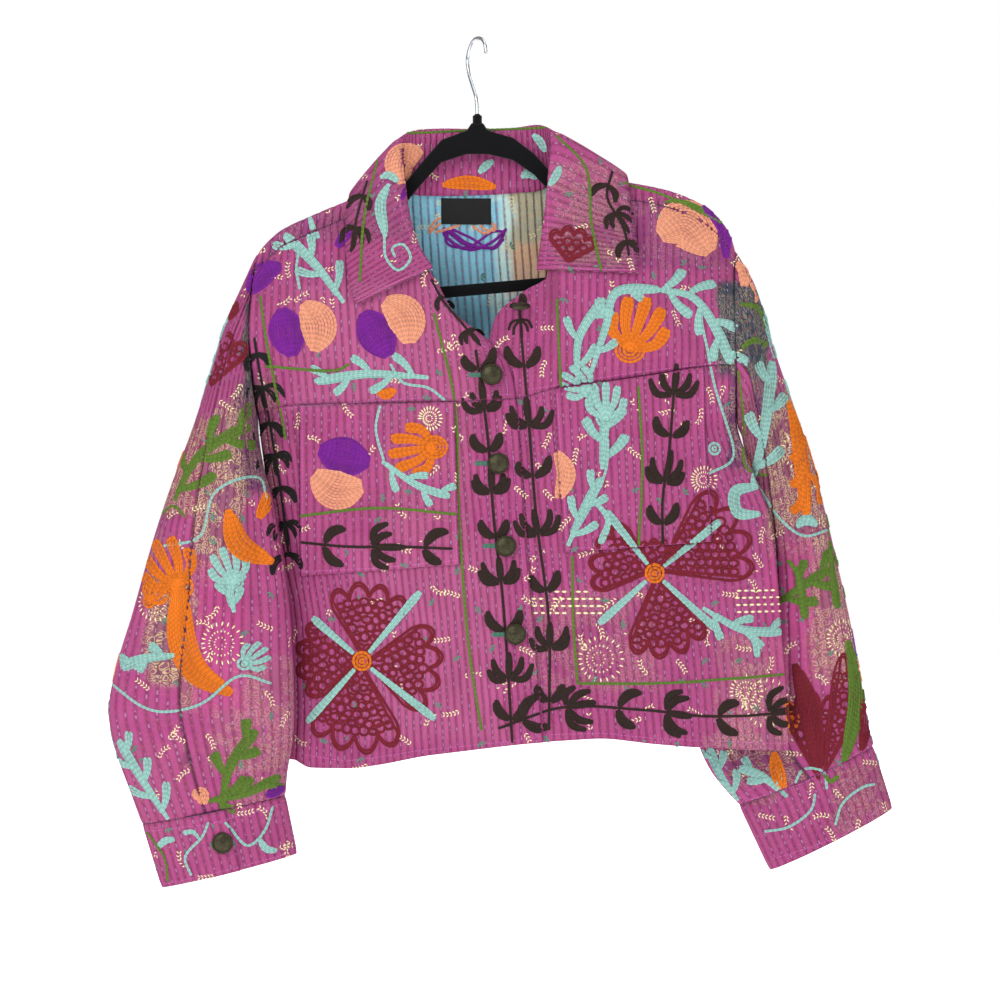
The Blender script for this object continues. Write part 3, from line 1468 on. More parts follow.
class Needle:
    """Lays chain stitch, topstitch and printed leaves on the outermost cloth."""

    def __init__(self, cloth: dict[str, bpy.types.Object]) -> None:
        """Reads the faces of all the sheets.

        Args:
            cloth: the sheets by node.
        """
        points: list[Vector] = []
        faces: list[tuple[int, ...]] = []
        self.nodes: list[str] = []
        for node, made in cloth.items():
            start = len(points)
            points += [v.co.copy() for v in made.data.vertices]
            faces += [tuple(k + start for k in p.vertices) for p in made.data.polygons]
            self.nodes += [node] * len(made.data.polygons)
        self.tree = BVHTree.FromPolygons(points, faces)
        self.laid: dict[str, Laid] = {}
        self.taken: set[tuple[int, ...]] = set()

    def drop(
        self, line: Array, facing: Facing, limit: float = 4.0
    ) -> list[tuple[str, Array, Array]]:
        """Lays a plan's line on the sheet.

        Args:
            line: places of the plan in millimetres.
            facing: the side that it is laid on from.
            limit: the longest step between two neighbours, past which the line is cut.

        Returns:
            The node, points and ways out of each run that meets a sheet.
        """
        ray = Vector(facing.ray)
        hits = [self.tree.ray_cast(Vector(facing.origin(place)), ray, DROP_REACH) for place in line]
        good = np.array([h[0] is not None and abs(h[1].dot(ray)) > facing.least for h in hits], bool)
        where = np.array([h[0] if ok else (0, 0, 0) for h, ok in zip(hits, good)], float) / MM
        ways = np.array([h[1] if ok else (0, 0, 1) for h, ok in zip(hits, good)], float)
        ways *= np.where((ways @ np.array(facing.ray)) > 0, -1.0, 1.0)[:, None]
        nodes = [self.nodes[h[2]] if ok else "" for h, ok in zip(hits, good)]
        jump = np.zeros(len(line), bool)
        jump[1:] = np.linalg.norm(np.diff(where, axis=0), axis=1) > limit
        jump[1:] |= np.array([a != b for a, b in zip(nodes, nodes[1:])], bool)
        pieces, start = [], 0
        for i in range(1, len(line) + 1):
            if i == len(line) or jump[i] or not good[i] or not good[i - 1]:
                if i - start >= 3 and good[start:i].all():
                    pieces.append((nodes[start], where[start:i], ways[start:i]))
                start = i
        return pieces

    def chain(self, motif: Motif, facing: Facing) -> None:
        """Embroiders a motif in chain stitch."""
        color = np.array(motif.thread.value)
        chance = np.random.default_rng(round(abs(color.sum()) * 1000) + 7)
        new: set[tuple[int, ...]] = set()
        for line in motif.lines():
            for node, points, ways in self.drop(resample(line, LINK / LINK_STEPS), facing):
                if node not in BARE_NODES:
                    cells = self.cells(points)
                    over = np.array([cell in self.taken for cell in cells], float) * OVER_LIFT
                    new.update(cells)
                    raised = points + ways * over[:, None]
                    self.ribbon(node, raised, ways, color * chance.uniform(0.86, 1.1))
        self.taken |= new

    def cells(self, points: Array) -> list[tuple[int, ...]]:
        """Returns the coarse cell that each point is in."""
        return [tuple(cell) for cell in np.round(points / CELL).astype(int)]

    def ribbon(self, node: str, points: Array, ways: Array, color: Array) -> None:
        """Adds one line of chain links along points on the cloth."""
        if len(points) < 3:
            return
        soft = ways.copy()
        for _turn in range(2):
            soft[1:-1] = (soft[:-2] + soft[1:-1] * 2 + soft[2:]) / 4
        soft /= np.linalg.norm(soft, axis=1, keepdims=True)
        ahead = np.gradient(points, axis=0)
        aside = np.cross(ahead, soft)
        aside /= np.maximum(np.linalg.norm(aside, axis=1, keepdims=True), 1e-9)
        phase = (np.arange(len(points)) % LINK_STEPS) / LINK_STEPS
        half = CHAIN_PITCH * 0.5 * (0.78 + 0.3 * np.sin(math.pi * (phase + 0.2)))
        high = CHAIN_HEIGHT * (0.7 + 0.45 * np.sin(math.pi * (phase + 0.15)))
        half[[0, -1]] *= 0.5
        high[[0, -1]] *= 0.3
        rows = [
            points + aside * (half * across)[:, None] + soft * (high * up + 0.1)[:, None]
            for across, up, _shade in LINK_SECTION
        ]
        grid = np.stack(rows, axis=1)
        dark = np.array([shade for _across, _up, shade in LINK_SECTION])
        shade = dark[None, :] * (0.6 + 0.46 * np.sin(math.pi * (phase + 0.2)))[:, None]
        self.add_grid(node, grid, color[None, None, :] * shade[..., None])

    def topstitch(self, line: Array, facing: Facing, thread: Thread = Thread.PINK) -> None:
        """Adds a row of small straight stitches."""
        count = len(TOP_HEIGHTS)
        high = np.array(TOP_HEIGHTS)
        for node, points, ways in self.drop(resample(line, TOP_STEP), facing):
            for start in range(0, len(points) - count + 1, count):
                span = slice(start, start + count)
                ahead = np.gradient(points[span], axis=0)
                aside = np.cross(ahead, ways[span])
                aside /= np.maximum(np.linalg.norm(aside, axis=1, keepdims=True), 1e-9)
                rows = [
                    points[span] + aside * across + ways[span] * (high * up)[:, None]
                    for across, up in TOP_SECTION
                ]
                grid = np.stack(rows, axis=1)
                self.add_grid(node, grid, np.broadcast_to(np.array(thread.value), grid.shape))

    def leaf(
        self, place: Array, angle: float, length: float, width: float, thread: Thread, facing: Facing
    ) -> None:
        """Prints one small leaf flat on the cloth.

        Args:
            place: its middle, as X or Y and Z in millimetres.
            angle: the way that it points in the plan.
            length: its length.
            width: its width.
            thread: its colour.
            facing: the side that it is printed from.
        """
        ray = Vector(facing.ray)
        hit, way, face, _far = self.tree.ray_cast(Vector(facing.origin(place)), ray, DROP_REACH)
        if hit is None or abs(way.dot(ray)) < facing.least or self.nodes[face] in BARE_NODES:
            return
        way = np.array(way) * (-1.0 if way.dot(ray) > 0 else 1.0)
        along = np.zeros(3)
        along[facing.across] = math.cos(angle) * facing.sign
        along[2] = math.sin(angle)
        along -= way * (along @ way)
        along /= np.linalg.norm(along)
        aside = np.cross(way, along)
        centre = np.array(hit) / MM + way * PRINT_LIFT
        if self.cells(centre[None])[0] in self.taken:
            return
        ring = [
            centre + along * a * length / 2 + aside * b * width / 2
            for a, b in LEAF_RING
        ]
        laid = self.laid.setdefault(self.nodes[face], Laid())
        laid.faces.append(np.array(LEAF_FACES) + laid.count)
        laid.points.append(np.array(ring))
        laid.colors.append(np.broadcast_to(np.array(thread.value), (len(ring), 3)))
        laid.count += len(ring)

    def add_grid(self, node: str, grid: Array, color: Array) -> None:
        """Adds a grid of points and its colours to what is laid on a node."""
        laid = self.laid.setdefault(node, Laid())
        rows, columns = grid.shape[:2]
        index = np.arange(rows * columns).reshape(rows, columns) + laid.count
        laid.points.append(grid.reshape(-1, 3))
        laid.colors.append(np.array(color).reshape(-1, 3))
        laid.faces.append(np.array(quads(index)))
        laid.count += rows * columns

    def finish(self, kind: str) -> list[bpy.types.Object]:
        """Makes an object for each sheet of all that was laid on it.

        Args:
            kind: what was laid, for the names.

        Returns:
            The objects.
        """
        pieces = []
        for node, laid in self.laid.items():
            made = add_object(
                f"{node}_{kind}", np.concatenate(laid.points), np.concatenate(laid.faces).tolist()
            )
            set_color(made, "thread", np.concatenate(laid.colors))
            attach(made, BODY_NAME)
            cloth_slot(node)
            pieces.append(made)
        self.laid = {}
        return pieces


PRINT_LIFT = 0.3
# The size of the cells that remember where thread lies, and the lift of thread over thread
CELL = 4.0
OVER_LIFT = 0.8
BARE_NODES = ("neck_label",)


def set_color(made: bpy.types.Object, name: str, colors: Array) -> None:
    """Gives a mesh a colour for each vertex."""
    layer = made.data.color_attributes.new(name, "FLOAT_COLOR", "POINT")
    table = np.concatenate([np.clip(colors, 0, 1), np.ones((len(colors), 1))], axis=1)
    layer.data.foreach_set("color", table.astype(np.float32).ravel())


def pixel_path(spine: Sequence[tuple[float, float]]) -> tuple[Array, Array]:
    """Returns a smooth line through places, at even steps in pixels, and its way at each step."""
    pixels = swept(spine) / np.array([PIXEL_MM, -PIXEL_MM]) + np.array(ORIGIN_PX)
    return pixels, np.gradient(pixels, axis=0)


def step_to(place: Sequence[float], away: float, angle: float) -> tuple[float, float]:
    """Returns the place some pixels away from another, at an angle with up as 90 degrees."""
    return (place[0] + away * math.cos(angle), place[1] - away * math.sin(angle))


def vine(
    thread: Thread, spine: Sequence[tuple[float, float]], gap: float, leaf: float, seed: int
) -> list[Motif]:
    """Plans a stem with pairs of leaves and a crown of five at each second joint.

    Args:
        thread: its colour.
        spine: the places of the stem in pixels.
        gap: the distance between two joints in pixels.
        leaf: the length of a leaf in pixels.
        seed: the seed of its unevenness.

    Returns:
        The stem and its leaves.
    """
    chance = np.random.default_rng(seed)
    pixels, ahead = pixel_path(spine)
    made: list[Motif] = [Stroke(thread, Profile.STEM, 1.3, tuple(map(tuple, pixels[::8])))]
    at = gap * 0.5
    joint = 0
    while at < len(pixels) - 2:
        place, way = pixels[int(at)], ahead[int(at)]
        angle = math.atan2(-way[1], way[0])
        crown = joint % 2 == 1
        turns = CROWN_TURNS if crown else PAIR_TURNS
        for turn in turns:
            size = leaf * 1.12 * chance.uniform(0.85, 1.15) * (1.15 if turn == 0 else 1)
            bent = turn + chance.uniform(-0.12, 0.12)
            mid = step_to(place, size * 0.55, angle + bent * 1.1)
            tip = step_to(place, size, angle + bent * 0.72)
            half = leaf * (0.17 if crown else 0.23)
            made.append(Stroke(thread, Profile.LEAF, half, ((*place,), mid, tip)))
        at += gap / PIXEL_MM * chance.uniform(0.9, 1.1)
        joint += 1
    return made


def twig(
    thread: Thread, spine: Sequence[tuple[float, float]], fingers: int, length: float, half: float
) -> list[Motif]:
    """Plans a branch whose fingers open to both sides and thicken to their ends.

    Args:
        thread: its colour.
        spine: the places of its branch in pixels.
        fingers: how many fingers it has.
        length: the length of the first finger in pixels; the others are shorter.
        half: half of a stroke's width in pixels, before TWIG_WIDTH.

    Returns:
        The branch and its fingers.
    """
    pixels, ahead = pixel_path(spine)
    half *= TWIG_WIDTH
    made: list[Motif] = [Stroke(thread, Profile.CLUB, half, tuple(map(tuple, pixels[::6])))]
    for index in range(fingers):
        step = int(len(pixels) * (index + 0.7) / (fingers + 0.6))
        place, way = pixels[step], ahead[step]
        angle = math.atan2(-way[1], way[0]) + (FINGER_TURN if index % 2 else -FINGER_TURN)
        size = length * (1 - FINGER_SHRINK * index / fingers)
        mid = step_to(place, size * 0.5, angle)
        bend = angle - (FINGER_BEND if index % 2 else -FINGER_BEND)
        tip = step_to(mid, size * 0.5, bend)
        made.append(Stroke(thread, Profile.CLUB, half * 0.9, ((*place,), mid, tip)))
    return made


def bud(middle: tuple[float, float], size: float, turn: float) -> list[Motif]:
    """Plans a two-coloured bud: a pale kidney that sits in a dark one."""
    made: list[Motif] = []
    c, s = math.cos(turn), math.sin(turn)
    for thread, out, half in ((Thread.PURPLE, -0.34, 0.56), (Thread.PEACH, 0.3, 0.56)):
        rows = ((-0.78, out - 0.16), (0.0, out + (0.16 if out > 0 else -0.14)), (0.78, out - 0.16))
        spine = tuple(
            (middle[0] + size * (a * c - b * s), middle[1] + size * (a * s + b * c)) for a, b in rows
        )
        made.append(Stroke(thread, Profile.LEAF, size * half, spine))
    return made


def openwork(
    middle: tuple[float, float], petals: Sequence[tuple[float, float, float]], seed: int
) -> list[Motif]:
    """Plans a large flower: openwork petals, pale rays between them and an orange eye."""
    made: list[Motif] = [
        Petal(Thread.MAROON, middle, way, length, spread, 4, seed + index)
        for index, (way, length, spread) in enumerate(petals)
    ]
    for way, length in RAYS[seed % 2]:
        angle = math.radians(way)
        ends = (step_to(middle, RAY_START, angle), step_to(middle, length, angle))
        made.append(Stroke(Thread.MINT, Profile.CLUB, RAY_HALF, ends))
    made.append(Disc(Thread.ORANGE, middle, (EYE, EYE)))
    return made


def lobed(middle: tuple[float, float], turn: float, size: float, thread: Thread) -> list[Motif]:
    """Plans a flower of five long lobes that open from one foot."""
    made: list[Motif] = []
    for bend, far in LOBES:
        angle = turn + bend
        mid = step_to(middle, size * 0.5, angle)
        tip = step_to(middle, size * far, angle - bend * 0.3)
        made.append(Stroke(thread, Profile.CLUB, size * 0.15, (middle, mid, tip)))
    made.append(Disc(thread, middle, (size * 0.3, size * 0.26)))
    return made


# A vine's leaves, as angles off its stem: a crown of five, or a pair
CROWN_TURNS = (-1.3, 1.3, -0.75, 0.75, 0.0)
PAIR_TURNS = (-0.85, 0.85)
# How much wider a twig's strokes are than planned, to fill their outline, and its fingers' turn
# off the branch, bend, and loss of length up to the last one
TWIG_WIDTH = 1.2
FINGER_TURN = 0.85
FINGER_BEND = 0.25
FINGER_SHRINK = 0.35
# The lobes of a lobed flower: angle off its middle, and reach as a share of its size
LOBES = ((-1.05, 0.8), (-0.5, 1.0), (0.0, 1.05), (0.5, 1.0), (1.05, 0.78))
# A large flower's eye, and where its rays start and half their width, in pixels
EYE = 10.0
RAY_START = 11.0
RAY_HALF = 5.2
# The rays of the two large flowers: way in degrees, length in pixels
RAYS = (
    ((38.0, 84.0), (128.0, 78.0), (222.0, 74.0), (318.0, 86.0)),
    ((50.0, 90.0), (140.0, 66.0), (228.0, 84.0), (322.0, 92.0)),
)


def stem(thread: Thread, *spine: tuple[float, float]) -> Stroke:
    """Plans one line of chain stitch."""
    return Stroke(thread, Profile.STEM, 1.2, spine)


def leaf(thread: Thread, half: float, *spine: tuple[float, float]) -> Stroke:
    """Plans one filled leaf."""
    return Stroke(thread, Profile.LEAF, half, spine)


def club(thread: Thread, half: float, *spine: tuple[float, float]) -> Stroke:
    """Plans one stroke that thickens to its end."""
    return Stroke(thread, Profile.CLUB, half, spine)


def front_motifs() -> list[Motif]:
    """Plans what is embroidered on the body's front, its collar and pockets."""
    m, o, g, b, p = Thread.MINT, Thread.ORANGE, Thread.GREEN, Thread.BROWN, Thread.PURPLE
    return [
        # flowers and buds
        *openwork((364, 659), ((84, 78, 36), (354, 80, 40), (264, 92, 36), (180, 68, 42)), 3),
        *openwork((652, 572), ((160, 66, 40), (28, 104, 34), (282, 84, 34), (82, 34, 40)), 8),
        *bud((306, 331), 34, -1.8), *bud((393, 328), 35, -2.1), *bud((342, 474), 36, 0.25),
        leaf(Thread.PEACH, 26, (656, 240), (684, 225), (712, 256)),
        leaf(p, 8, (700, 204), (722, 226), (726, 262)),
        leaf(p, 13, (250, 296), (266, 274), (284, 266)), leaf(p, 7, (336, 250), (345, 240), (352, 228)),
        leaf(Thread.PEACH, 10, (554, 450), (565, 474), (556, 502)),
        leaf(Thread.PEACH, 15, (404, 190), (400, 162), (424, 146)),
        leaf(p, 3.5, (402, 204), (406, 194), (412, 184)),
        *lobed((628, 352), 1.25, 52, o), *lobed((436, 448), 3.3, 44, o),
        leaf(o, 6, (378, 392), (388, 396), (398, 390)), leaf(o, 9, (786, 700), (794, 720), (792, 738)),
        leaf(o, 8, (440, 184), (468, 181), (498, 186)), leaf(m, 7, (462, 140), (486, 136), (504, 140)),
        # pale branches
        *twig(m, ((346, 306), (318, 268), (284, 234)), 4, 32, 5.5),
        club(m, 5, (310, 217), (313, 228), (318, 240)), stem(m, (302, 292), (298, 270), (300, 248)),
        *twig(m, ((430, 380), (370, 376), (314, 384)), 5, 30, 5.0),
        stem(m, (392, 366), (404, 384), (430, 390), (446, 402)),
        stem(m, (383, 404), (378, 430), (386, 462)),
        *twig(m, ((384, 462), (420, 486), (456, 498)), 4, 24, 4.4),
        leaf(m, 6.5, (392, 184), (382, 206), (388, 244)), leaf(m, 4.5, (380, 180), (390, 178), (400, 186)),
        stem(m, (386, 240), (388, 262), (400, 274), (412, 262), (404, 248), (394, 252), (397, 261)),
        leaf(m, 5, (478, 172), (486, 164), (494, 158)), leaf(m, 5.5, (520, 176), (530, 172), (538, 178)),
        leaf(m, 5, (532, 132), (540, 140), (546, 152)), leaf(m, 5, (548, 190), (556, 178), (560, 168)),
        # the back of the embroidery, on the inside of the back
        *(
            stem(p, *(
                (474 + (30 + 3 * k) * math.cos(0.9 * a + k), 236 + (10 + k) * math.sin(1.7 * a + k))
                for a in range(12)
            ))
            for k in range(2)
        ),
        stem(Thread.PEACH, *(
            (462 + 34 * math.cos(0.8 * a), 222 + 9 * math.sin(1.9 * a)) for a in range(12)
        )),
        *twig(m, ((576, 388), (578, 340), (603, 300)), 3, 30, 5.0),
        *twig(m, ((588, 378), (604, 330), (614, 296), (660, 292)), 3, 22, 5.2),
        *twig(m, ((655, 292), (690, 300), (712, 330), (729, 369)), 6, 34, 5.6),
        club(m, 6.5, (660, 292), (672, 284), (682, 272)),
        stem(m, (700, 332), (712, 387), (732, 458), (707, 474)), Disc(m, (713, 449), (7, 7)),
        leaf(m, 7, (762, 486), (734, 492), (736, 512), (764, 514)),
        *twig(m, ((600, 470), (602, 440), (604, 400)), 4, 34, 6.0),
        *lobed((604, 420), 1.57, 34, m), *lobed((588, 392), 2.6, 30, m),
        stem(m, (606, 440), (604, 470), (592, 500), (566, 545)),
        *twig(m, ((566, 545), (584, 505), (600, 478)), 4, 28, 5.0),
        club(m, 4.5, (592, 500), (606, 520), (598, 543)),
        *twig(m, ((700, 606), (740, 628), (786, 632)), 4, 26, 5.0),
        club(m, 4.5, (740, 628), (752, 640), (756, 656)),
        # dark vines
        *vine(b, ((512, 738), (503, 600), (494, 520), (487, 430), (476, 352)), 40, 24, 11),
        *vine(b, ((548, 726), (548, 620), (536, 520), (528, 420), (520, 326)), 50, 24, 12),
        *vine(b, ((498, 724), (560, 704), (640, 706), (712, 714), (786, 712)), 46, 25, 13),
        *vine(b, ((302, 542), (350, 546), (404, 546), (458, 548)), 44, 25, 14),
        *vine(b, ((660, 545), (660, 500), (668, 440), (672, 376)), 38, 24, 15),
        *vine(b, ((368, 182), (358, 222), (352, 262)), 30, 19, 16),
        *vine(b, ((612, 172), (606, 200), (622, 232), (628, 266)), 30, 18, 17),
        *vine(b, ((432, 282), (444, 304), (466, 330), (480, 350)), 36, 15, 18),
        *vine(b, ((528, 284), (520, 300), (520, 330)), 26, 13, 19),
        *vine(Thread.BLACK, ((258, 340), (270, 420), (280, 480), (290, 560)), 30, 20, 20),
        Petal(Thread.MAROON, (566, 270), 78, 40, 44, 4, 21),
        # long green lines
        stem(g, (435, 316), (455, 402), (460, 522), (470, 650), (482, 726)),
        stem(g, (262, 297), (280, 400), (287, 440)), stem(g, (300, 516), (380, 508), (458, 514)),
        stem(g, (556, 302), (558, 350), (560, 392)), stem(g, (571, 555), (572, 620), (576, 680)),
        stem(g, (576, 680), (660, 680), (786, 674)), stem(g, (636, 388), (640, 460), (636, 548)),
        stem(g, (735, 372), (743, 430), (746, 468), (768, 476)),
        stem(g, (268, 368), (340, 372), (352, 366)),
        stem(g, (378, 160), (366, 220), (362, 286)), stem(g, (406, 132), (470, 128), (546, 126)),
        stem(g, (556, 136), (585, 170), (590, 226), (600, 276)),
        stem(g, (622, 184), (664, 196), (722, 224)), club(g, 3.5, (664, 202), (684, 203), (704, 212)),
    ]


def sleeve_motifs() -> list[Motif]:
    """Plans what is embroidered on the fronts of the sleeves and cuffs."""
    m, o, g, r = Thread.MINT, Thread.ORANGE, Thread.GREEN, Thread.MAROON
    return [
        # right sleeve
        Petal(r, (214, 392), 72, 60, 30, 3, 31), leaf(r, 7, (230, 322), (236, 312), (238, 302)),
        *twig(g, ((180, 500), (206, 456), (258, 424)), 6, 40, 6.0),
        stem(g, (166, 514), (180, 506), (192, 516)),
        stem(m, (170, 545), (206, 536), (222, 492), (262, 478), (270, 500)),
        *lobed((240, 580), 1.9, 34, m), *twig(m, ((240, 610), (236, 590), (240, 572)), 3, 20, 5),
        leaf(o, 12, (234, 506), (246, 544), (280, 562)), leaf(o, 7, (262, 520), (270, 500), (268, 490)),
        *lobed((186, 585), 2.1, 50, o), leaf(o, 15, (186, 570), (190, 640), (204, 668), (244, 692)),
        *lobed((156, 600), 1.0, 24, o),
        *twig(m, ((182, 652), (150, 656), (124, 666)), 3, 18, 6),
        *twig(m, ((174, 816), (146, 772), (124, 736)), 5, 30, 5.5),
        stem(m, (118, 682), (160, 706), (206, 700), (246, 672), (276, 680)),
        *lobed((250, 660), 0.6, 26, m),
        *twig(g, ((226, 804), (236, 760), (264, 722)), 4, 30, 6),
        *twig(g, ((206, 796), (250, 788), (288, 770)), 3, 22, 5),
        leaf(Thread.PEACH, 8, (198, 792), (206, 788), (210, 800)),
        leaf(Thread.PURPLE, 6, (268, 792), (282, 786), (286, 782)),
        stem(m, (196, 870), (190, 852), (208, 830), (214, 816)),
        leaf(m, 4, (160, 846), (170, 836), (182, 834)),
        leaf(m, 4, (262, 832), (270, 844), (282, 846)), club(m, 3.4, (206, 834), (198, 826), (188, 828)),
        stem(g, (150, 828), (168, 852), (172, 878)),
        stem(m, (230, 816), (252, 840), (268, 826), (276, 802)),
        # left sleeve
        leaf(Thread.PEACH, 8, (734, 262), (744, 272), (742, 290)),
        leaf(Thread.PEACH, 5, (748, 284), (756, 294), (754, 306)),
        club(g, 4.5, (738, 306), (756, 310), (768, 330)), club(g, 4.5, (738, 350), (752, 342), (766, 346)),
        *twig(m, ((752, 486), (762, 440), (772, 360)), 4, 34, 7),
        stem(m, (756, 480), (782, 520), (806, 536), (832, 530)),
        leaf(o, 9, (788, 394), (800, 440), (810, 530)),
        *(
            club(o, 6, (806, 410 + 26 * k), (800, 428 + 26 * k), (792, 434 + 26 * k))
            for k in range(4)
        ),
        club(o, 6, (806, 470), (822, 486), (824, 504)), leaf(m, 6, (796, 528), (808, 520), (822, 526)),
        *twig(g, ((780, 604), (806, 586), (836, 568)), 4, 34, 6),
        club(g, 6, (834, 540), (836, 570), (842, 610)),
        club(g, 6, (790, 560), (800, 575), (808, 620)),
        Petal(r, (822, 786), 98, 92, 20, 4, 32), Petal(r, (826, 780), 72, 130, 12, 3, 33),
        leaf(r, 12, (796, 660), (812, 710), (822, 776)), leaf(g, 10, (852, 636), (862, 700), (846, 772)),
        leaf(r, 8, (868, 700), (872, 726), (866, 756)),
        *twig(m, ((742, 806), (722, 776), (712, 750)), 4, 26, 5),
        *twig(m, ((790, 800), (766, 780), (740, 770)), 3, 22, 5),
        leaf(o, 8, (776, 752), (780, 774), (788, 796)),
        stem(m, (796, 790), (806, 772), (826, 774), (830, 792)),
        stem(m, (768, 836), (792, 830), (814, 812), (818, 796)),
        stem(m, (838, 828), (846, 806), (868, 790), (880, 788)),
        club(g, 3, (826, 776), (834, 784), (842, 778)),
    ]


def back_motifs() -> list[Motif]:
    """Plans what is embroidered on the back, in places mirrored by its own view."""
    m, o, g, b, p = Thread.MINT, Thread.ORANGE, Thread.GREEN, Thread.BROWN, Thread.PURPLE
    return [
        *openwork((380, 640), ((90, 82, 36), (0, 82, 38), (270, 86, 36), (180, 76, 40)), 41),
        *openwork((640, 420), ((100, 74, 38), (10, 96, 34), (280, 84, 36), (190, 70, 40)), 44),
        *bud((330, 300), 38, 1.3), *bud((560, 250), 36, 0.2),
        *bud((300, 470), 36, 1.0), *lobed((400, 420), 1.2, 52, o), *lobed((700, 300), 2.2, 48, o),
        *lobed((640, 640), 0.8, 46, o), leaf(p, 12, (690, 250), (706, 262), (716, 282)),
        *twig(m, ((330, 380), (370, 310), (420, 260)), 6, 38, 6),
        *twig(m, ((480, 300), (520, 280), (620, 300)), 6, 36, 5.5),
        *twig(m, ((300, 560), (340, 500), (400, 480)), 5, 34, 5.5),
        *twig(m, ((560, 560), (540, 500), (560, 420)), 5, 34, 5.5),
        *twig(m, ((560, 620), (600, 590), (700, 600)), 5, 32, 5.5),
        *twig(g, ((420, 740), (470, 700), (500, 650)), 5, 32, 5.5),
        *twig(g, ((660, 230), (700, 210), (726, 240)), 4, 26, 5),
        *vine(b, ((492, 736), (486, 560), (492, 400), (488, 250)), 42, 24, 51),
        *vine(b, ((300, 722), (400, 726), (560, 722), (770, 716)), 50, 24, 52),
        *vine(b, ((280, 400), (360, 396), (460, 402)), 46, 22, 53),
        stem(g, (452, 240), (456, 480), (450, 740)), stem(g, (524, 240), (520, 480), (526, 740)),
        stem(g, (280, 690), (500, 694), (780, 686)), stem(g, (290, 540), (430, 536)),
        *twig(m, ((180, 540), (210, 470), (240, 380)), 6, 36, 6), *lobed((190, 590), 1.4, 48, o),
        *twig(g, ((140, 740), (190, 690), (240, 660)), 5, 34, 6), *bud((226, 330), 28, 1.2),
        *twig(m, ((160, 800), (200, 770), (270, 760)), 4, 26, 5),
        Petal(Thread.MAROON, (250, 740), 100, 70, 36, 4, 55),
        *twig(m, ((760, 330), (790, 420), (800, 500)), 6, 34, 6), *lobed((824, 600), 2.0, 46, o),
        *twig(g, ((780, 640), (820, 690), (850, 740)), 5, 32, 6), *bud((800, 560), 26, 0.6),
        Petal(Thread.MAROON, (800, 770), 80, 70, 34, 4, 56), stem(m, (760, 830), (810, 816), (870, 790)),
        stem(m, (170, 860), (220, 840), (280, 830)),
        *twig(m, ((400, 200), (470, 170), (560, 190)), 6, 26, 5),
    ]


def side_motifs(left: bool) -> list[Motif]:
    """Plans what is embroidered on a sleeve's outer side, with Y as the plan's first axis."""
    m, o, g = Thread.MINT, Thread.ORANGE, Thread.GREEN
    drift = LEFT_DRIFT if left else RIGHT_DRIFT

    def moved(place: tuple[float, float]) -> tuple[float, float]:
        """Moves a place along with the sleeve, which leaves the upright on its way down."""
        return (place[0] + ORIGIN_PX[0] + drift * (place[1] - DRIFT_FROM) / DRIFT_OVER, place[1])

    motifs = [
        *twig(m, ((0, 420), (-12, 370), (8, 300)), 5, 30, 6), *lobed((4, 480), 1.4, 44, o),
        *twig(g, ((-10, 610), (8, 570), (0, 520)), 5, 32, 6), *bud((6, 660), 30, 0.7),
        *twig(m, ((10, 780), (-10, 740), (6, 690)), 5, 30, 5.5),
        stem(m, (-40, 830), (0, 820), (40, 838)),
    ]
    return [
        replace(each, spine=tuple(map(moved, each.spine)))
        if isinstance(each, Stroke)
        else replace(each, middle=moved(each.middle))
        for each in motifs
    ]


# How far a sleeve's outer side leaves the upright towards the front, in pixels, over how long a
# way down and from where
LEFT_DRIFT = 50.0
RIGHT_DRIFT = -12.0
DRIFT_FROM = 300
DRIFT_OVER = 500


def deselect() -> None:
    """Deselects every object."""
    for each in list(bpy.context.selected_objects):
        each.select_set(False)


def activate(made: bpy.types.Object) -> None:
    """Makes one object the only one selected, and the active one."""
    deselect()
    made.select_set(True)
    bpy.context.view_layer.objects.active = made


def settle(made: bpy.types.Object, name: str, node: str) -> bpy.types.Object:
    """Finishes a hard piece: applies its place, names it and lets it stand for its node.

    Args:
        made: the piece.
        name: its name.
        node: the CAD node that it stands for.

    Returns:
        The piece.
    """
    activate(made)
    bpy.ops.object.transform_apply(location=True, rotation=True, scale=True)
    made.name = name
    made.data.name = name
    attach(made, BODY_NAME)
    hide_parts(node)
    return made


def apply_modifier(made: bpy.types.Object, kind: str, **values: float | int | str | bool) -> None:
    """Adds a modifier to an object and applies it."""
    activate(made)
    modifier = made.modifiers.new(kind.lower(), kind)
    for key, value in values.items():
        setattr(modifier, key, value)
    bpy.ops.object.modifier_apply(modifier=modifier.name)


def select_faces(made: bpy.types.Object, test: Callable[[Vector, Vector], bool]) -> None:
    """Selects the faces whose centre and normal pass a test. Object mode is on before and after."""
    for vertex in made.data.vertices:
        vertex.select = False
    for edge in made.data.edges:
        edge.select = False
    for face in made.data.polygons:
        face.select = test(face.center, face.normal)


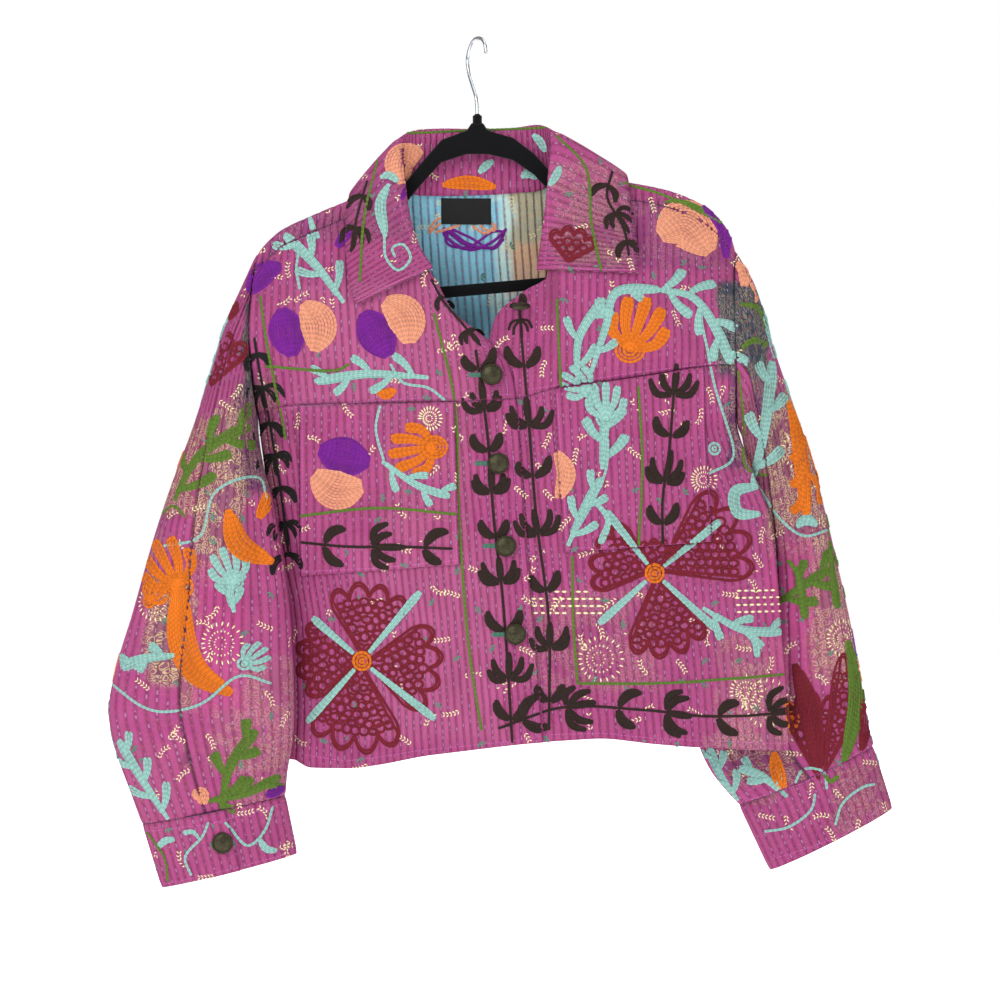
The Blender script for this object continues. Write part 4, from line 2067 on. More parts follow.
@dataclass
class Button:
    """An embossed metal button on a short shank.

    Args:
        radius: its radius.
        rim: the rim's height.
        crown: how high its middle stands over its back.
        shank: the shank's height.
        shank_radius: the shank's radius.
        beads: how many beads lie round the rim.
        petals: how many scrolls lie in its middle.
    """

    radius: float = 10.0
    rim: float = 2.2
    crown: float = 3.4
    shank: float = 2.2
    shank_radius: float = 3.0
    beads: int = 30
    petals: int = 6

    def model(self) -> bpy.types.Object:
        """Models the button on +Z, with its back's shank at the origin.

        Returns:
            The button, still loose.
        """
        deselect()
        bpy.ops.mesh.primitive_cylinder_add(
            vertices=48, radius=self.shank_radius * MM, depth=self.shank * MM,
            location=(0, 0, self.shank / 2 * MM),
        )
        body = bpy.context.object
        select_faces(body, lambda centre, normal: normal.z > 0.9)
        bpy.ops.object.mode_set(mode="EDIT")
        bpy.ops.mesh.select_mode(type="FACE")
        steps = (
            (self.radius - 0.5, 0.0), (self.radius, 0.5), (self.radius, 1.3),
            (self.radius - 0.6, self.rim), (self.radius - 1.5, self.rim),
            (self.radius - 2.0, self.rim - 0.7), (self.radius - 4.4, self.rim + 0.1),
            (self.radius - 7.2, self.crown - 0.4), (1.0, self.crown - 0.2),
        )
        size, height = self.shank_radius, 0.0
        for next_size, next_height in steps:
            bpy.ops.mesh.extrude_region_move(
                TRANSFORM_OT_translate={"value": (0, 0, (next_height - height) * MM)}
            )
            bpy.ops.transform.resize(value=(next_size / size, next_size / size, 1))
            size, height = next_size, next_height
        bpy.ops.object.mode_set(mode="OBJECT")
        parts = [body]
        for index in range(self.beads):
            turn = index / self.beads * 2 * math.pi
            place = ((self.radius - 1.05) * math.cos(turn), (self.radius - 1.05) * math.sin(turn))
            parts.append(self.bead(place, self.shank + self.rim, 0.62, 0.6))
        for index in range(self.petals):
            parts.extend(self.scroll(index / self.petals * 2 * math.pi))
        parts.append(self.bead((0, 0), self.shank + self.crown, 1.3, 0.7))
        deselect()
        for part in parts:
            part.select_set(True)
        bpy.context.view_layer.objects.active = body
        bpy.ops.object.join()
        bpy.ops.object.transform_apply(location=True, rotation=True, scale=True)
        bpy.ops.object.shade_smooth_by_angle(angle=math.radians(42))
        return body

    def bead(self, place: tuple[float, float], height: float, size: float, flat: float) -> bpy.types.Object:
        """Adds a small flattened bead at a place on the face."""
        bpy.ops.mesh.primitive_ico_sphere_add(
            subdivisions=1 if size < 1 else 2, radius=size * MM,
            location=(place[0] * MM, place[1] * MM, (height - 0.15) * MM), scale=(1, 1, flat),
        )
        return bpy.context.object

    def scroll(self, turn: float) -> list[bpy.types.Object]:
        """Adds one scroll of the relief: a bent row of drops that shrink."""
        made = []
        for step in range(5):
            away = 2.2 + step * 1.05
            swing = turn + 0.16 * step - 0.03 * step * step
            share = (away - 1.0) / (self.radius - 3.0)
            height = self.shank + self.crown - 0.5 - (self.crown - self.rim + 0.1) * share
            place = (away * math.cos(swing), away * math.sin(swing))
            made.append(self.bead(place, height + 0.25, 0.85 - 0.09 * step, 0.55))
            if step == 3:
                side = (away * math.cos(swing + 0.34), away * math.sin(swing + 0.34))
                made.append(self.bead(side, height + 0.2, 0.62, 0.55))
        return made

    def copies(self, model: bpy.types.Object) -> list[bpy.types.Object]:
        """Sets a copy of the button on each button's CAD node and deletes the model.

        Args:
            model: the modelled button.

        Returns:
            The copies.
        """
        made = []
        for node in BUTTON_NODES:
            points = node_points(node)
            place, way = button_seat(points, self)
            copy = model.copy()
            copy.data = model.data.copy()
            bpy.context.scene.collection.objects.link(copy)
            copy.rotation_euler = Vector(way).to_track_quat("Z", "Y").to_euler()
            copy.location = Vector(place + way * BUTTON_LIFTS.get(node, 0.0) * MM)
            made.append(settle(copy, f"{node}_metal", node))
        bpy.data.objects.remove(model)
        return made


# The depth between the buttons that face forwards and the one that faces back
BUTTON_MIDDLE = 20.0
# How far the lapped end of the cuff lifts a button
BUTTON_LIFTS = {"right_cuff_button": 5.0, "left_cuff_button": 0.6}
BUTTON_NODES = (
    "front_button_1", "front_button_2", "front_button_3", "front_button_4", "front_button_5",
    "right_cuff_button", "left_cuff_button",
)


def node_points(node: str) -> Array:
    """Returns the vertices of a CAD node in metres."""
    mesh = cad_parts[node].data
    points = np.zeros(len(mesh.vertices) * 3, np.float32)
    mesh.vertices.foreach_get("co", points)
    return points.reshape(-1, 3).astype(float)


def button_seat(points: Array, button: Button) -> tuple[Array, Array]:
    """Works out where a button sits from its CAD solid.

    Args:
        points: the solid's vertices.
        button: the button's sizes.

    Returns:
        The middle of its back and the way that it faces.
    """
    unique = np.unique(np.round(points, 6), axis=0)
    centre = unique.mean(axis=0)
    _, _, axes = np.linalg.svd(unique - centre)
    way = axes[2]
    high = (unique - centre) @ way
    if way[1] * (centre[1] - BUTTON_MIDDLE * MM) < 0:
        way, high = -way, -high
    tip = unique[high > high.max() - 0.00005].mean(axis=0)
    depth = (button.shank + button.crown) * MM
    return tip - way * depth, way


@dataclass
class Hanger:
    """The flocked hanger, its bar and its wire hook, rounded from their CAD solids.

    Args:
        edge: how far its edges are rounded.
        wire: the wire's radius.
        hook_turn: how far the hook is turned off the hanger's plane, in degrees.
        stem_x: X of the hook's upright.
        stem_out: how far out of the route's zero the upright is.
        route: the hook's line, as (out, height) from its tip to the hanger's neck.
    """

    edge: float = 1.7
    wire: float = 1.75
    hook_turn: float = 62.0
    stem_x: float = 6.0
    stem_out: float = 7.0
    route: tuple = (
        (25, -16), (23, -6), (17, 0), (8, 2.4), (0, 1.75), (-8, -4), (-13, -14), (-10, -28),
        (-2, -42), (5, -54), (7, -66), (7, -77.6),
    )

    def build(self) -> list[bpy.types.Object]:
        """Builds the three pieces."""
        return [self.rounded("hanger_arms"), self.rounded("hanger_bar"), self.hook(), *self.collar()]

    def rounded(self, node: str) -> bpy.types.Object:
        """Copies a flat CAD solid, merges it and rounds its edges."""
        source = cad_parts[node]
        copy = bpy.data.objects.new(f"{node}_flock", source.data.copy())
        bpy.context.scene.collection.objects.link(copy)
        activate(copy)
        bpy.ops.object.mode_set(mode="EDIT")
        bpy.ops.mesh.select_all(action="SELECT")
        bpy.ops.mesh.remove_doubles(threshold=0.00002)
        bpy.ops.mesh.dissolve_limited(angle_limit=math.radians(2))
        bpy.ops.object.mode_set(mode="OBJECT")
        apply_modifier(
            copy, "BEVEL", width=self.edge * MM, segments=4, limit_method="ANGLE",
            angle_limit=math.radians(50),
        )
        apply_modifier(copy, "TRIANGULATE")
        activate(copy)
        bpy.ops.object.shade_smooth_by_angle(angle=math.radians(50))
        return settle(copy, f"{node}_flock", node)

    def hook(self) -> bpy.types.Object:
        """Bends the wire hook along its route and rounds its tip."""
        turn = math.radians(self.hook_turn)
        points = []
        for out, z in self.route:
            off = out - self.stem_out
            points.append((self.stem_x + off * math.cos(turn), -off * math.sin(turn), z))
        line = catmull(np.array(points, float), np.linspace(0, 1, 90))
        deselect()
        bpy.ops.curve.primitive_nurbs_path_add()
        wire = bpy.context.object
        wire.data.splines.clear()
        spline = wire.data.splines.new("POLY")
        spline.points.add(len(line) - 1)
        spline.points.foreach_set("co", np.c_[line * MM, np.ones(len(line))].ravel())
        radii = np.ones(len(line))
        radii[:3] = (0.35, 0.75, 0.95)
        spline.points.foreach_set("radius", radii)
        wire.data.bevel_depth = self.wire * MM
        wire.data.bevel_resolution = 5
        wire.data.use_fill_caps = True
        activate(wire)
        bpy.ops.object.convert(target="MESH")
        bpy.ops.object.shade_smooth_by_angle(angle=math.radians(60))
        return settle(wire, "hanger_hook_wire", "hanger_hook")

    def collar(self) -> list[bpy.types.Object]:
        """Adds the small flocked sleeve where the hook enters the neck."""
        deselect()
        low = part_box("hanger_hook")[0]
        bpy.ops.mesh.primitive_cylinder_add(
            vertices=32, radius=4.4 * MM, depth=9 * MM,
            location=(self.stem_x * MM, 0, low[2] + 2.2 * MM),
        )
        ring = bpy.context.object
        select_faces(ring, lambda centre, normal: normal.z > 0.9)
        bpy.ops.object.mode_set(mode="EDIT")
        bpy.ops.mesh.select_mode(type="FACE")
        bpy.ops.mesh.inset(thickness=1.6 * MM)
        bpy.ops.mesh.extrude_region_move(TRANSFORM_OT_translate={"value": (0, 0, 1.4 * MM)})
        bpy.ops.object.mode_set(mode="OBJECT")
        apply_modifier(ring, "BEVEL", width=1.1 * MM, segments=3, angle_limit=math.radians(40))
        activate(ring)
        bpy.ops.object.shade_smooth_by_angle(angle=math.radians(50))
        bpy.ops.object.transform_apply(location=True, rotation=True, scale=True)
        ring.name = "hanger_neck_ferrule"
        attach(ring, BODY_NAME)
        return [ring]


@dataclass
class NeckLabel:
    """The woven neck label, bare, sewn at its two ends with its one side lifted.

    Args:
        left: X of one end.
        right: X of the other end.
        top: the height of its upper edge.
        drop: its height.
        wall: its thickness.
        lift: how far its middle bows off the back.
    """

    left: float = -29.0
    right: float = 19.0
    top: float = -147.0
    drop: float = 24.0
    wall: float = 0.6
    lift: float = 1.2

    def build(self) -> bpy.types.Object:
        """Builds the label on the inside of the back."""
        x, v = np.meshgrid(np.linspace(self.left, self.right, 61), np.linspace(0, 1, 25))
        z = self.top - self.drop * v
        normal = -BODY.normal(Side.BACK, x, z)
        share = (x - self.left) / (self.right - self.left)
        bow = self.lift * np.sin(math.pi * share) ** 2 * smooth(v * 1.5)
        bow += 1.6 * smooth((share - 0.8) / 0.2) * smooth((v - 0.5) * 2)
        off = WALL + LIE_GAP + self.wall + 0.2 + bow
        points = BODY.point(Side.BACK, x, z) + normal * off[..., None]
        return sheet_object(
            Sheet("neck_label", points, normal, self.wall, quilted=0.0, raise_by=0.0, inner_step=2)
        )


@dataclass(frozen=True)
class Dye:
    """A patch of cloth of another colour.

    Args:
        code: its colour code.
        middle: its place in the photograph's pixels.
        size: its half width and half height in pixels.
        share: how much of the base colour it takes.
        printed: how much cream block print shows on it.
    """

    code: int
    middle: tuple[float, float]
    size: tuple[float, float]
    share: float
    printed: float = 0.0


BASE_DYE = 0xA5467C
DYES = (
    Dye(0x8D4173, (660, 230), (90, 36), 0.8, 0.15),
    Dye(0x82416C, (350, 215), (60, 30), 0.5, 0.1),
    Dye(0xB35D88, (390, 350), (90, 60), 0.5),
    Dye(0xB45E89, (430, 640), (70, 90), 0.5),
    Dye(0x994A73, (590, 640), (60, 46), 0.5, 0.35),
    Dye(0xA15D77, (755, 690), (40, 50), 0.5, 0.5),
    Dye(0x9A5571, (590, 215), (36, 50), 0.5, 0.4),
    Dye(0xAA567E, (430, 480), (40, 60), 0.4, 0.1),
    Dye(0x8F4C63, (200, 470), (50, 46), 0.7, 0.8),
    Dye(0x855A63, (214, 625), (56, 50), 0.8, 1.0),
    Dye(0x98537C, (140, 560), (30, 40), 0.5, 0.3),
    Dye(0x733C5B, (240, 720), (46, 44), 0.7, 0.5),
    Dye(0xA7527A, (150, 790), (40, 50), 0.4),
    Dye(0x23474F, (742, 330), (26, 44), 0.9, 0.3),
    Dye(0x4A3A5A, (752, 420), (24, 50), 0.7, 0.5),
    Dye(0x855664, (800, 470), (32, 80), 0.7, 1.0),
    Dye(0x965F6C, (838, 620), (30, 60), 0.6, 0.8),
    Dye(0xB24680, (790, 610), (24, 70), 0.7),
    Dye(0x995372, (740, 770), (40, 40), 0.5, 0.4),
    Dye(0x914C6A, (868, 800), (30, 30), 0.5, 0.4),
    Dye(0x7E415B, (258, 470), (20, 90), 0.7, 0.3),
)
INNER_DYE = 0x86BCD2
INNER_DYES = (
    Dye(0x8CC6DC, (440, 240), (66, 90), 0.95),
    Dye(0xCDEDE8, (505, 230), (7, 90), 0.95),
    Dye(0xB3AE92, (530, 220), (20, 38), 0.95, 0.4),
    Dye(0xE0B494, (532, 266), (22, 22), 0.95, 0.3),
    Dye(0x5FA9C0, (470, 400), (90, 60), 0.8),
    Dye(0x7C3F86, (620, 420), (70, 90), 0.8),
    Dye(0xC2A06A, (360, 560), (70, 80), 0.8, 0.3),
)
COLLAR_INNER = 0xA85284


def painted(points: Array, dyes: Sequence[Dye], base: int) -> Array:
    """Works out the dye of each place from hand-set patches.

    Args:
        points: places in millimetres.
        dyes: the patches.
        base: the colour code of the rest.

    Returns:
        Red, green, blue and the strength of the print.
    """
    px = points[:, 0] / PIXEL_MM + ORIGIN_PX[0]
    py = ORIGIN_PX[1] - points[:, 2] / PIXEL_MM
    wave = 7 * np.sin(py * 0.11) + 5 * np.sin(px * 0.13 + 1.0)
    color = np.tile(np.append(np.array(linear(base)), 0.04), (len(points), 1))
    for dye in dyes:
        away = np.maximum(np.abs(px + wave * 0.4 - dye.middle[0]) / dye.size[0],
                          np.abs(py + wave * 0.4 - dye.middle[1]) / dye.size[1])
        share = (dye.share * smooth((1.18 - away) / 0.26))[:, None]
        color = color * (1 - share) + np.append(np.array(linear(dye.code)), dye.printed) * share
    return color


def dye_sheet(made: bpy.types.Object, node: str) -> None:
    """Paints a sheet's outer and inner faces."""
    count = len(made.data.vertices)
    places = np.zeros(count * 3)
    made.data.vertices.foreach_get("co", places)
    places = places.reshape(-1, 3) / MM
    inner = np.zeros(count)
    made.data.attributes["inner"].data.foreach_get("value", inner)
    back = node == "back" or "under" in node
    seen = places * np.array([-1.0, 1.0, 1.0]) + np.array([70.0, 0, 20.0]) if back else places
    outer = painted(seen, DYES, BASE_DYE)
    lining = painted(places, INNER_DYES, COLLAR_INNER if node == "collar" else INNER_DYE)
    color = np.where(inner[:, None] > 0.5, lining, outer)
    layer = made.data.color_attributes.new("dye", "FLOAT_COLOR", "POINT")
    layer.data.foreach_set("color", np.clip(color, 0, 1).astype(np.float32).ravel())


class Graph:
    """Helps to write a node tree."""

    def __init__(self, tree: bpy.types.NodeTree) -> None:
        """Takes the tree to write in."""
        self.tree = tree

    def add(
        self, kind: str, inputs: dict[str | int, object] | None = None, **options: object
    ) -> bpy.types.Node:
        """Adds a node.

        Args:
            kind: the node's type.
            inputs: values or sockets by input name or number.
            options: the node's own settings.

        Returns:
            The node.
        """
        node = self.tree.nodes.new(kind)
        for key, value in options.items():
            setattr(node, key, value)
        self.fill(node, inputs or {})
        return node

    def fill(self, node: bpy.types.Node, inputs: dict[str | int, object]) -> None:
        """Sets a node's inputs to values, or links sockets to them."""
        for key, value in inputs.items():
            if isinstance(value, bpy.types.NodeSocket):
                self.tree.links.new(value, node.inputs[key])
            else:
                node.inputs[key].default_value = value

    def place(self) -> object:
        """Adds the object's own coordinates and returns their socket."""
        return self.add("ShaderNodeTexCoord").outputs["Object"]

    def bump(self, height: object, strength: float, distance: float) -> object:
        """Adds a bump, whose distance is in metres, and returns its normal."""
        inputs = {"Height": height, "Strength": strength, "Distance": distance}
        return self.add("ShaderNodeBump", inputs).outputs[0]

    def math(self, operation: str, a: object, b: object = 0.0, c: object = 0.0) -> object:
        """Adds a sum on numbers and returns its socket."""
        return self.add("ShaderNodeMath", {0: a, 1: b, 2: c}, operation=operation).outputs[0]

    def scale(self, color: object, factor: object) -> object:
        """Multiplies a colour by a number."""
        inputs = {0: color, "Scale": factor}
        return self.add("ShaderNodeVectorMath", inputs, operation="SCALE").outputs[0]

    def mix(self, factor: object, a: object, b: object) -> object:
        """Mixes two colours."""
        node = self.add("ShaderNodeMix", {0: factor, 6: a, 7: b}, data_type="RGBA")
        return node.outputs[2]

    def noise(self, vector: object, scale: float, detail: float = 2.0) -> object:
        """Adds noise and returns its value."""
        inputs = {"Vector": vector, "Scale": scale, "Detail": detail}
        return self.add("ShaderNodeTexNoise", inputs).outputs["Fac"]


# The kantha rows in metres: their pitch, a stitch with its gap, how far they waver, and the weave
ROW_M = 0.0076
DASH_M = 0.007
WAVER_M = 0.0022
WEAVE_M = 0.0011
FULL_TURN = 6.2832
# Half a stitch's width and its length, as shares of the pitch and of the dash
STITCH_HALF = 0.085
STITCH_SHARE = 0.5
# The block print: its net's cells and dots a metre, the net's line, and the least noise it needs
PRINT_CELLS = 165.0
PRINT_DOTS = 420.0
NET_AT = 0.14
NET_HALF = 0.055
DOT_SIZE = 0.24
PRINT_OVER = 0.44


def kantha_group() -> bpy.types.NodeTree:
    """Makes the node group of the kantha rows: stitches, valleys, weave and block print.

    Returns:
        The group, with masks for the stitch, valley and print, and a height.
    """
    tree = bpy.data.node_groups.new("kantha_rows", "ShaderNodeTree")
    for name, value in (("Row", ROW_M), ("Dash", DASH_M)):
        socket = tree.interface.new_socket(name, in_out="INPUT", socket_type="NodeSocketFloat")
        socket.default_value = value
    for name in ("Stitch", "Valley", "Print", "Height"):
        tree.interface.new_socket(name, in_out="OUTPUT", socket_type="NodeSocketFloat")
    g = Graph(tree)
    given, put = g.add("NodeGroupInput"), g.add("NodeGroupOutput")
    uv = g.add("ShaderNodeUVMap", uv_map="cloth").outputs[0]
    split = g.add("ShaderNodeSeparateXYZ", {0: uv})
    drift = g.math("MULTIPLY", g.math("SUBTRACT", g.noise(uv, 30.0), 0.5), WAVER_M)
    u = g.math("ADD", split.outputs[0], drift)
    across = g.math("DIVIDE", u, given.outputs["Row"])
    row = g.math("ROUND", across)
    off = g.math("ABSOLUTE", g.math("SUBTRACT", across, row))
    turn = g.add("ShaderNodeTexWhiteNoise", {"W": row}, noise_dimensions="1D").outputs["Value"]
    dashes = g.math("DIVIDE", split.outputs[1], given.outputs["Dash"])
    shift = g.math("ADD", turn, g.math("MULTIPLY", g.noise(uv, 60.0), 0.8))
    along = g.math("FRACT", g.math("ADD", dashes, shift))
    thin = g.math("LESS_THAN", off, STITCH_HALF)
    stitch = g.math("MULTIPLY", thin, g.math("LESS_THAN", along, STITCH_SHARE))
    valley = g.math("SUBTRACT", 1.0, g.math("SMOOTH_MIN", g.math("MULTIPLY", off, 4.2), 1.0, 0.3))
    pucker = g.add("ShaderNodeMapping", {0: uv, 3: (150.0, 420.0, 1.0)}).outputs[0]
    crumple = g.noise(pucker, 1.0, 3.0)
    cells, fine = (
        g.add("ShaderNodeTexVoronoi", {"Vector": uv, "Scale": size}, feature=kind).outputs["Distance"]
        for size, kind in ((PRINT_CELLS, "DISTANCE_TO_EDGE"), (PRINT_DOTS, "F1"))
    )
    lines = g.math("LESS_THAN", g.math("ABSOLUTE", g.math("SUBTRACT", cells, NET_AT)), NET_HALF)
    dots = g.math("LESS_THAN", fine, DOT_SIZE)
    patchy = g.math("GREATER_THAN", g.noise(uv, 48.0), PRINT_OVER)
    ink = g.math("MULTIPLY", g.math("MAXIMUM", lines, dots), patchy)
    waves = [
        g.math("SINE", g.math("MULTIPLY", split.outputs[k], FULL_TURN / WEAVE_M)) for k in (0, 1)
    ]
    weave = g.math("MULTIPLY", *waves)
    height = g.math("ADD", g.math("MULTIPLY", valley, -0.9), g.math("MULTIPLY", crumple, 0.7))
    threads = g.math("ADD", g.math("MULTIPLY", weave, 0.06), g.math("MULTIPLY", stitch, 0.55))
    height = g.math("ADD", height, threads)
    for name, socket in (("Stitch", stitch), ("Valley", valley), ("Print", ink), ("Height", height)):
        tree.links.new(socket, put.inputs[name])
    return tree


@dataclass
class Finishes:
    """The finishes of the cloth, thread, metal, flock and wire.

    Args:
        stitch: the colour of most running stitches.
        pale_stitch: the colour of the others.
        ink: the colour of the block print.
    """

    stitch: tuple[float, float, float] = linear(0xC4506E)
    pale_stitch: tuple[float, float, float] = linear(0xD9A7CC)
    ink: tuple[float, float, float] = linear(0xD8C08E)

    def begin(self, name: str) -> tuple[bpy.types.Material, Graph, bpy.types.Node]:
        """Starts a material and returns it with its tree and shader."""
        made = bpy.data.materials.new(name)
        made.use_nodes = True
        return made, Graph(made.node_tree), made.node_tree.nodes["Principled BSDF"]

    def plain(self, name: str, code: int, roughness: float, metallic: float = 0.0) -> bpy.types.Material:
        """Makes a smooth finish of one colour."""
        made, g, shader = self.begin(name)
        values = {"Base Color": (*linear(code), 1), "Roughness": roughness, "Metallic": metallic}
        g.fill(shader, values)
        return made

    def cotton(self, rows: bpy.types.NodeTree) -> bpy.types.Material:
        """Makes the quilted cotton, which takes its dye from the sheet's own colours."""
        made, g, shader = self.begin("kantha_cotton")
        kantha = g.add("ShaderNodeGroup", node_tree=rows)
        g.fill(kantha, {"Row": ROW_M, "Dash": DASH_M})
        dye = g.add("ShaderNodeVertexColor", layer_name="dye")
        place = g.place()
        wear = g.math("ADD", 0.8, g.math("MULTIPLY", g.noise(place, 26.0, 5.0), 0.42))
        base = g.scale(dye.outputs["Color"], wear)
        hollow = g.math("MULTIPLY", kantha.outputs["Valley"], 0.3)
        base = g.scale(base, g.math("SUBTRACT", 1.05, hollow))
        inked = g.math("MULTIPLY", kantha.outputs["Print"], dye.outputs["Alpha"])
        base = g.mix(inked, base, (*self.ink, 1))
        which = g.math("GREATER_THAN", g.noise(place, 90.0), 0.52)
        thread = g.mix(which, (*self.stitch, 1), (*self.pale_stitch, 1))
        base = g.mix(g.math("MULTIPLY", kantha.outputs["Stitch"], 0.5), base, thread)
        normal = g.bump(kantha.outputs["Height"], 0.9, 0.0026)
        g.fill(shader, {
            "Base Color": base, "Normal": normal, "Roughness": 0.88, "Specular IOR Level": 0.2,
        })
        return made

    def thread(self, name: str, lift: float) -> bpy.types.Material:
        """Makes thread or ink, whose colour is its own mesh's."""
        made, g, shader = self.begin(name)
        dye = g.add("ShaderNodeVertexColor", layer_name="thread").outputs["Color"]
        place = g.place()
        grain = g.noise(place, 1400.0)
        color = g.scale(dye, g.math("ADD", 0.72, g.math("MULTIPLY", grain, 0.56)))
        normal = g.bump(grain, lift, 0.0005)
        g.fill(shader, {
            "Base Color": color, "Normal": normal, "Roughness": 0.72, "Specular IOR Level": 0.3,
        })
        return made

    def metal(self) -> bpy.types.Material:
        """Makes the antique metal, dark in its hollows."""
        made, g, shader = self.begin("antique_metal")
        place = g.place()
        stain = g.noise(place, 420.0, 4.0)
        color = g.mix(stain, (*linear(0x151309), 1), (*linear(0x5C5844), 1))
        roughness = g.math("ADD", 0.3, g.math("MULTIPLY", stain, 0.3))
        g.fill(shader, {"Base Color": color, "Roughness": roughness, "Metallic": 0.9})
        return made

    def flock(self) -> bpy.types.Material:
        """Makes the black flock."""
        made, g, shader = self.begin("black_flock")
        place = g.place()
        fuzz = g.noise(place, 1500.0, 3.0)
        g.fill(shader, {
            "Base Color": (*linear(0x0C0C0E), 1), "Normal": g.bump(fuzz, 0.6, 0.0006),
            "Roughness": 1.0, "Specular IOR Level": 0.1, "Sheen Weight": 0.15,
        })
        return made

    def dress(self, cloth: dict[str, bpy.types.Object], buttons: list[bpy.types.Object],
              hanger: list[bpy.types.Object]) -> None:
        """Gives each piece its finish."""
        cotton = self.cotton(kantha_group())
        label = self.plain("label_satin", 0x08080A, 0.85)
        metal, flock = self.metal(), self.flock()
        wire = self.plain("bright_wire", 0xC9CDD0, 0.22, 1.0)
        for node, made in cloth.items():
            if node == "neck_label":
                made.data.materials.append(label)
            else:
                dye_sheet(made, node)
                made.data.materials.append(cotton)
        for pieces, finish in ((buttons, metal), ([m for m in hanger if "wire" not in m.name], flock),
                               ([m for m in hanger if "wire" in m.name], wire)):
            for made in pieces:
                made.data.materials.clear()
                made.data.materials.append(finish)


# The print, in pixels: the sprigs' pitch and the share of places without one, the bands of
# dashes (first and last X, rows and pitch), and the paisleys (X, Y and half their size)
SPRIG_PITCH = 27
SPRIG_BARE = 0.3
DASH_BANDS = ((533, 600), (735, 782))
DASH_ROWS = (590, 597, 604, 611)
DASH_PITCH = 7
PAISLEYS = (
    (596, 656, 24), (762, 702, 26), (742, 690, 18), (160, 600, 20), (226, 640, 22), (800, 450, 22),
    (846, 640, 20), (430, 420, 12), (700, 480, 14),
)
# A paisley's rays, and for each ring its scale and its dashes' length and width in millimetres
PAISLEY_RAYS = 22
PAISLEY_RINGS = ((1.0, 4.6, 1.5), (0.62, 2.4, 1.3), (0.3, 1.8, 1.2))


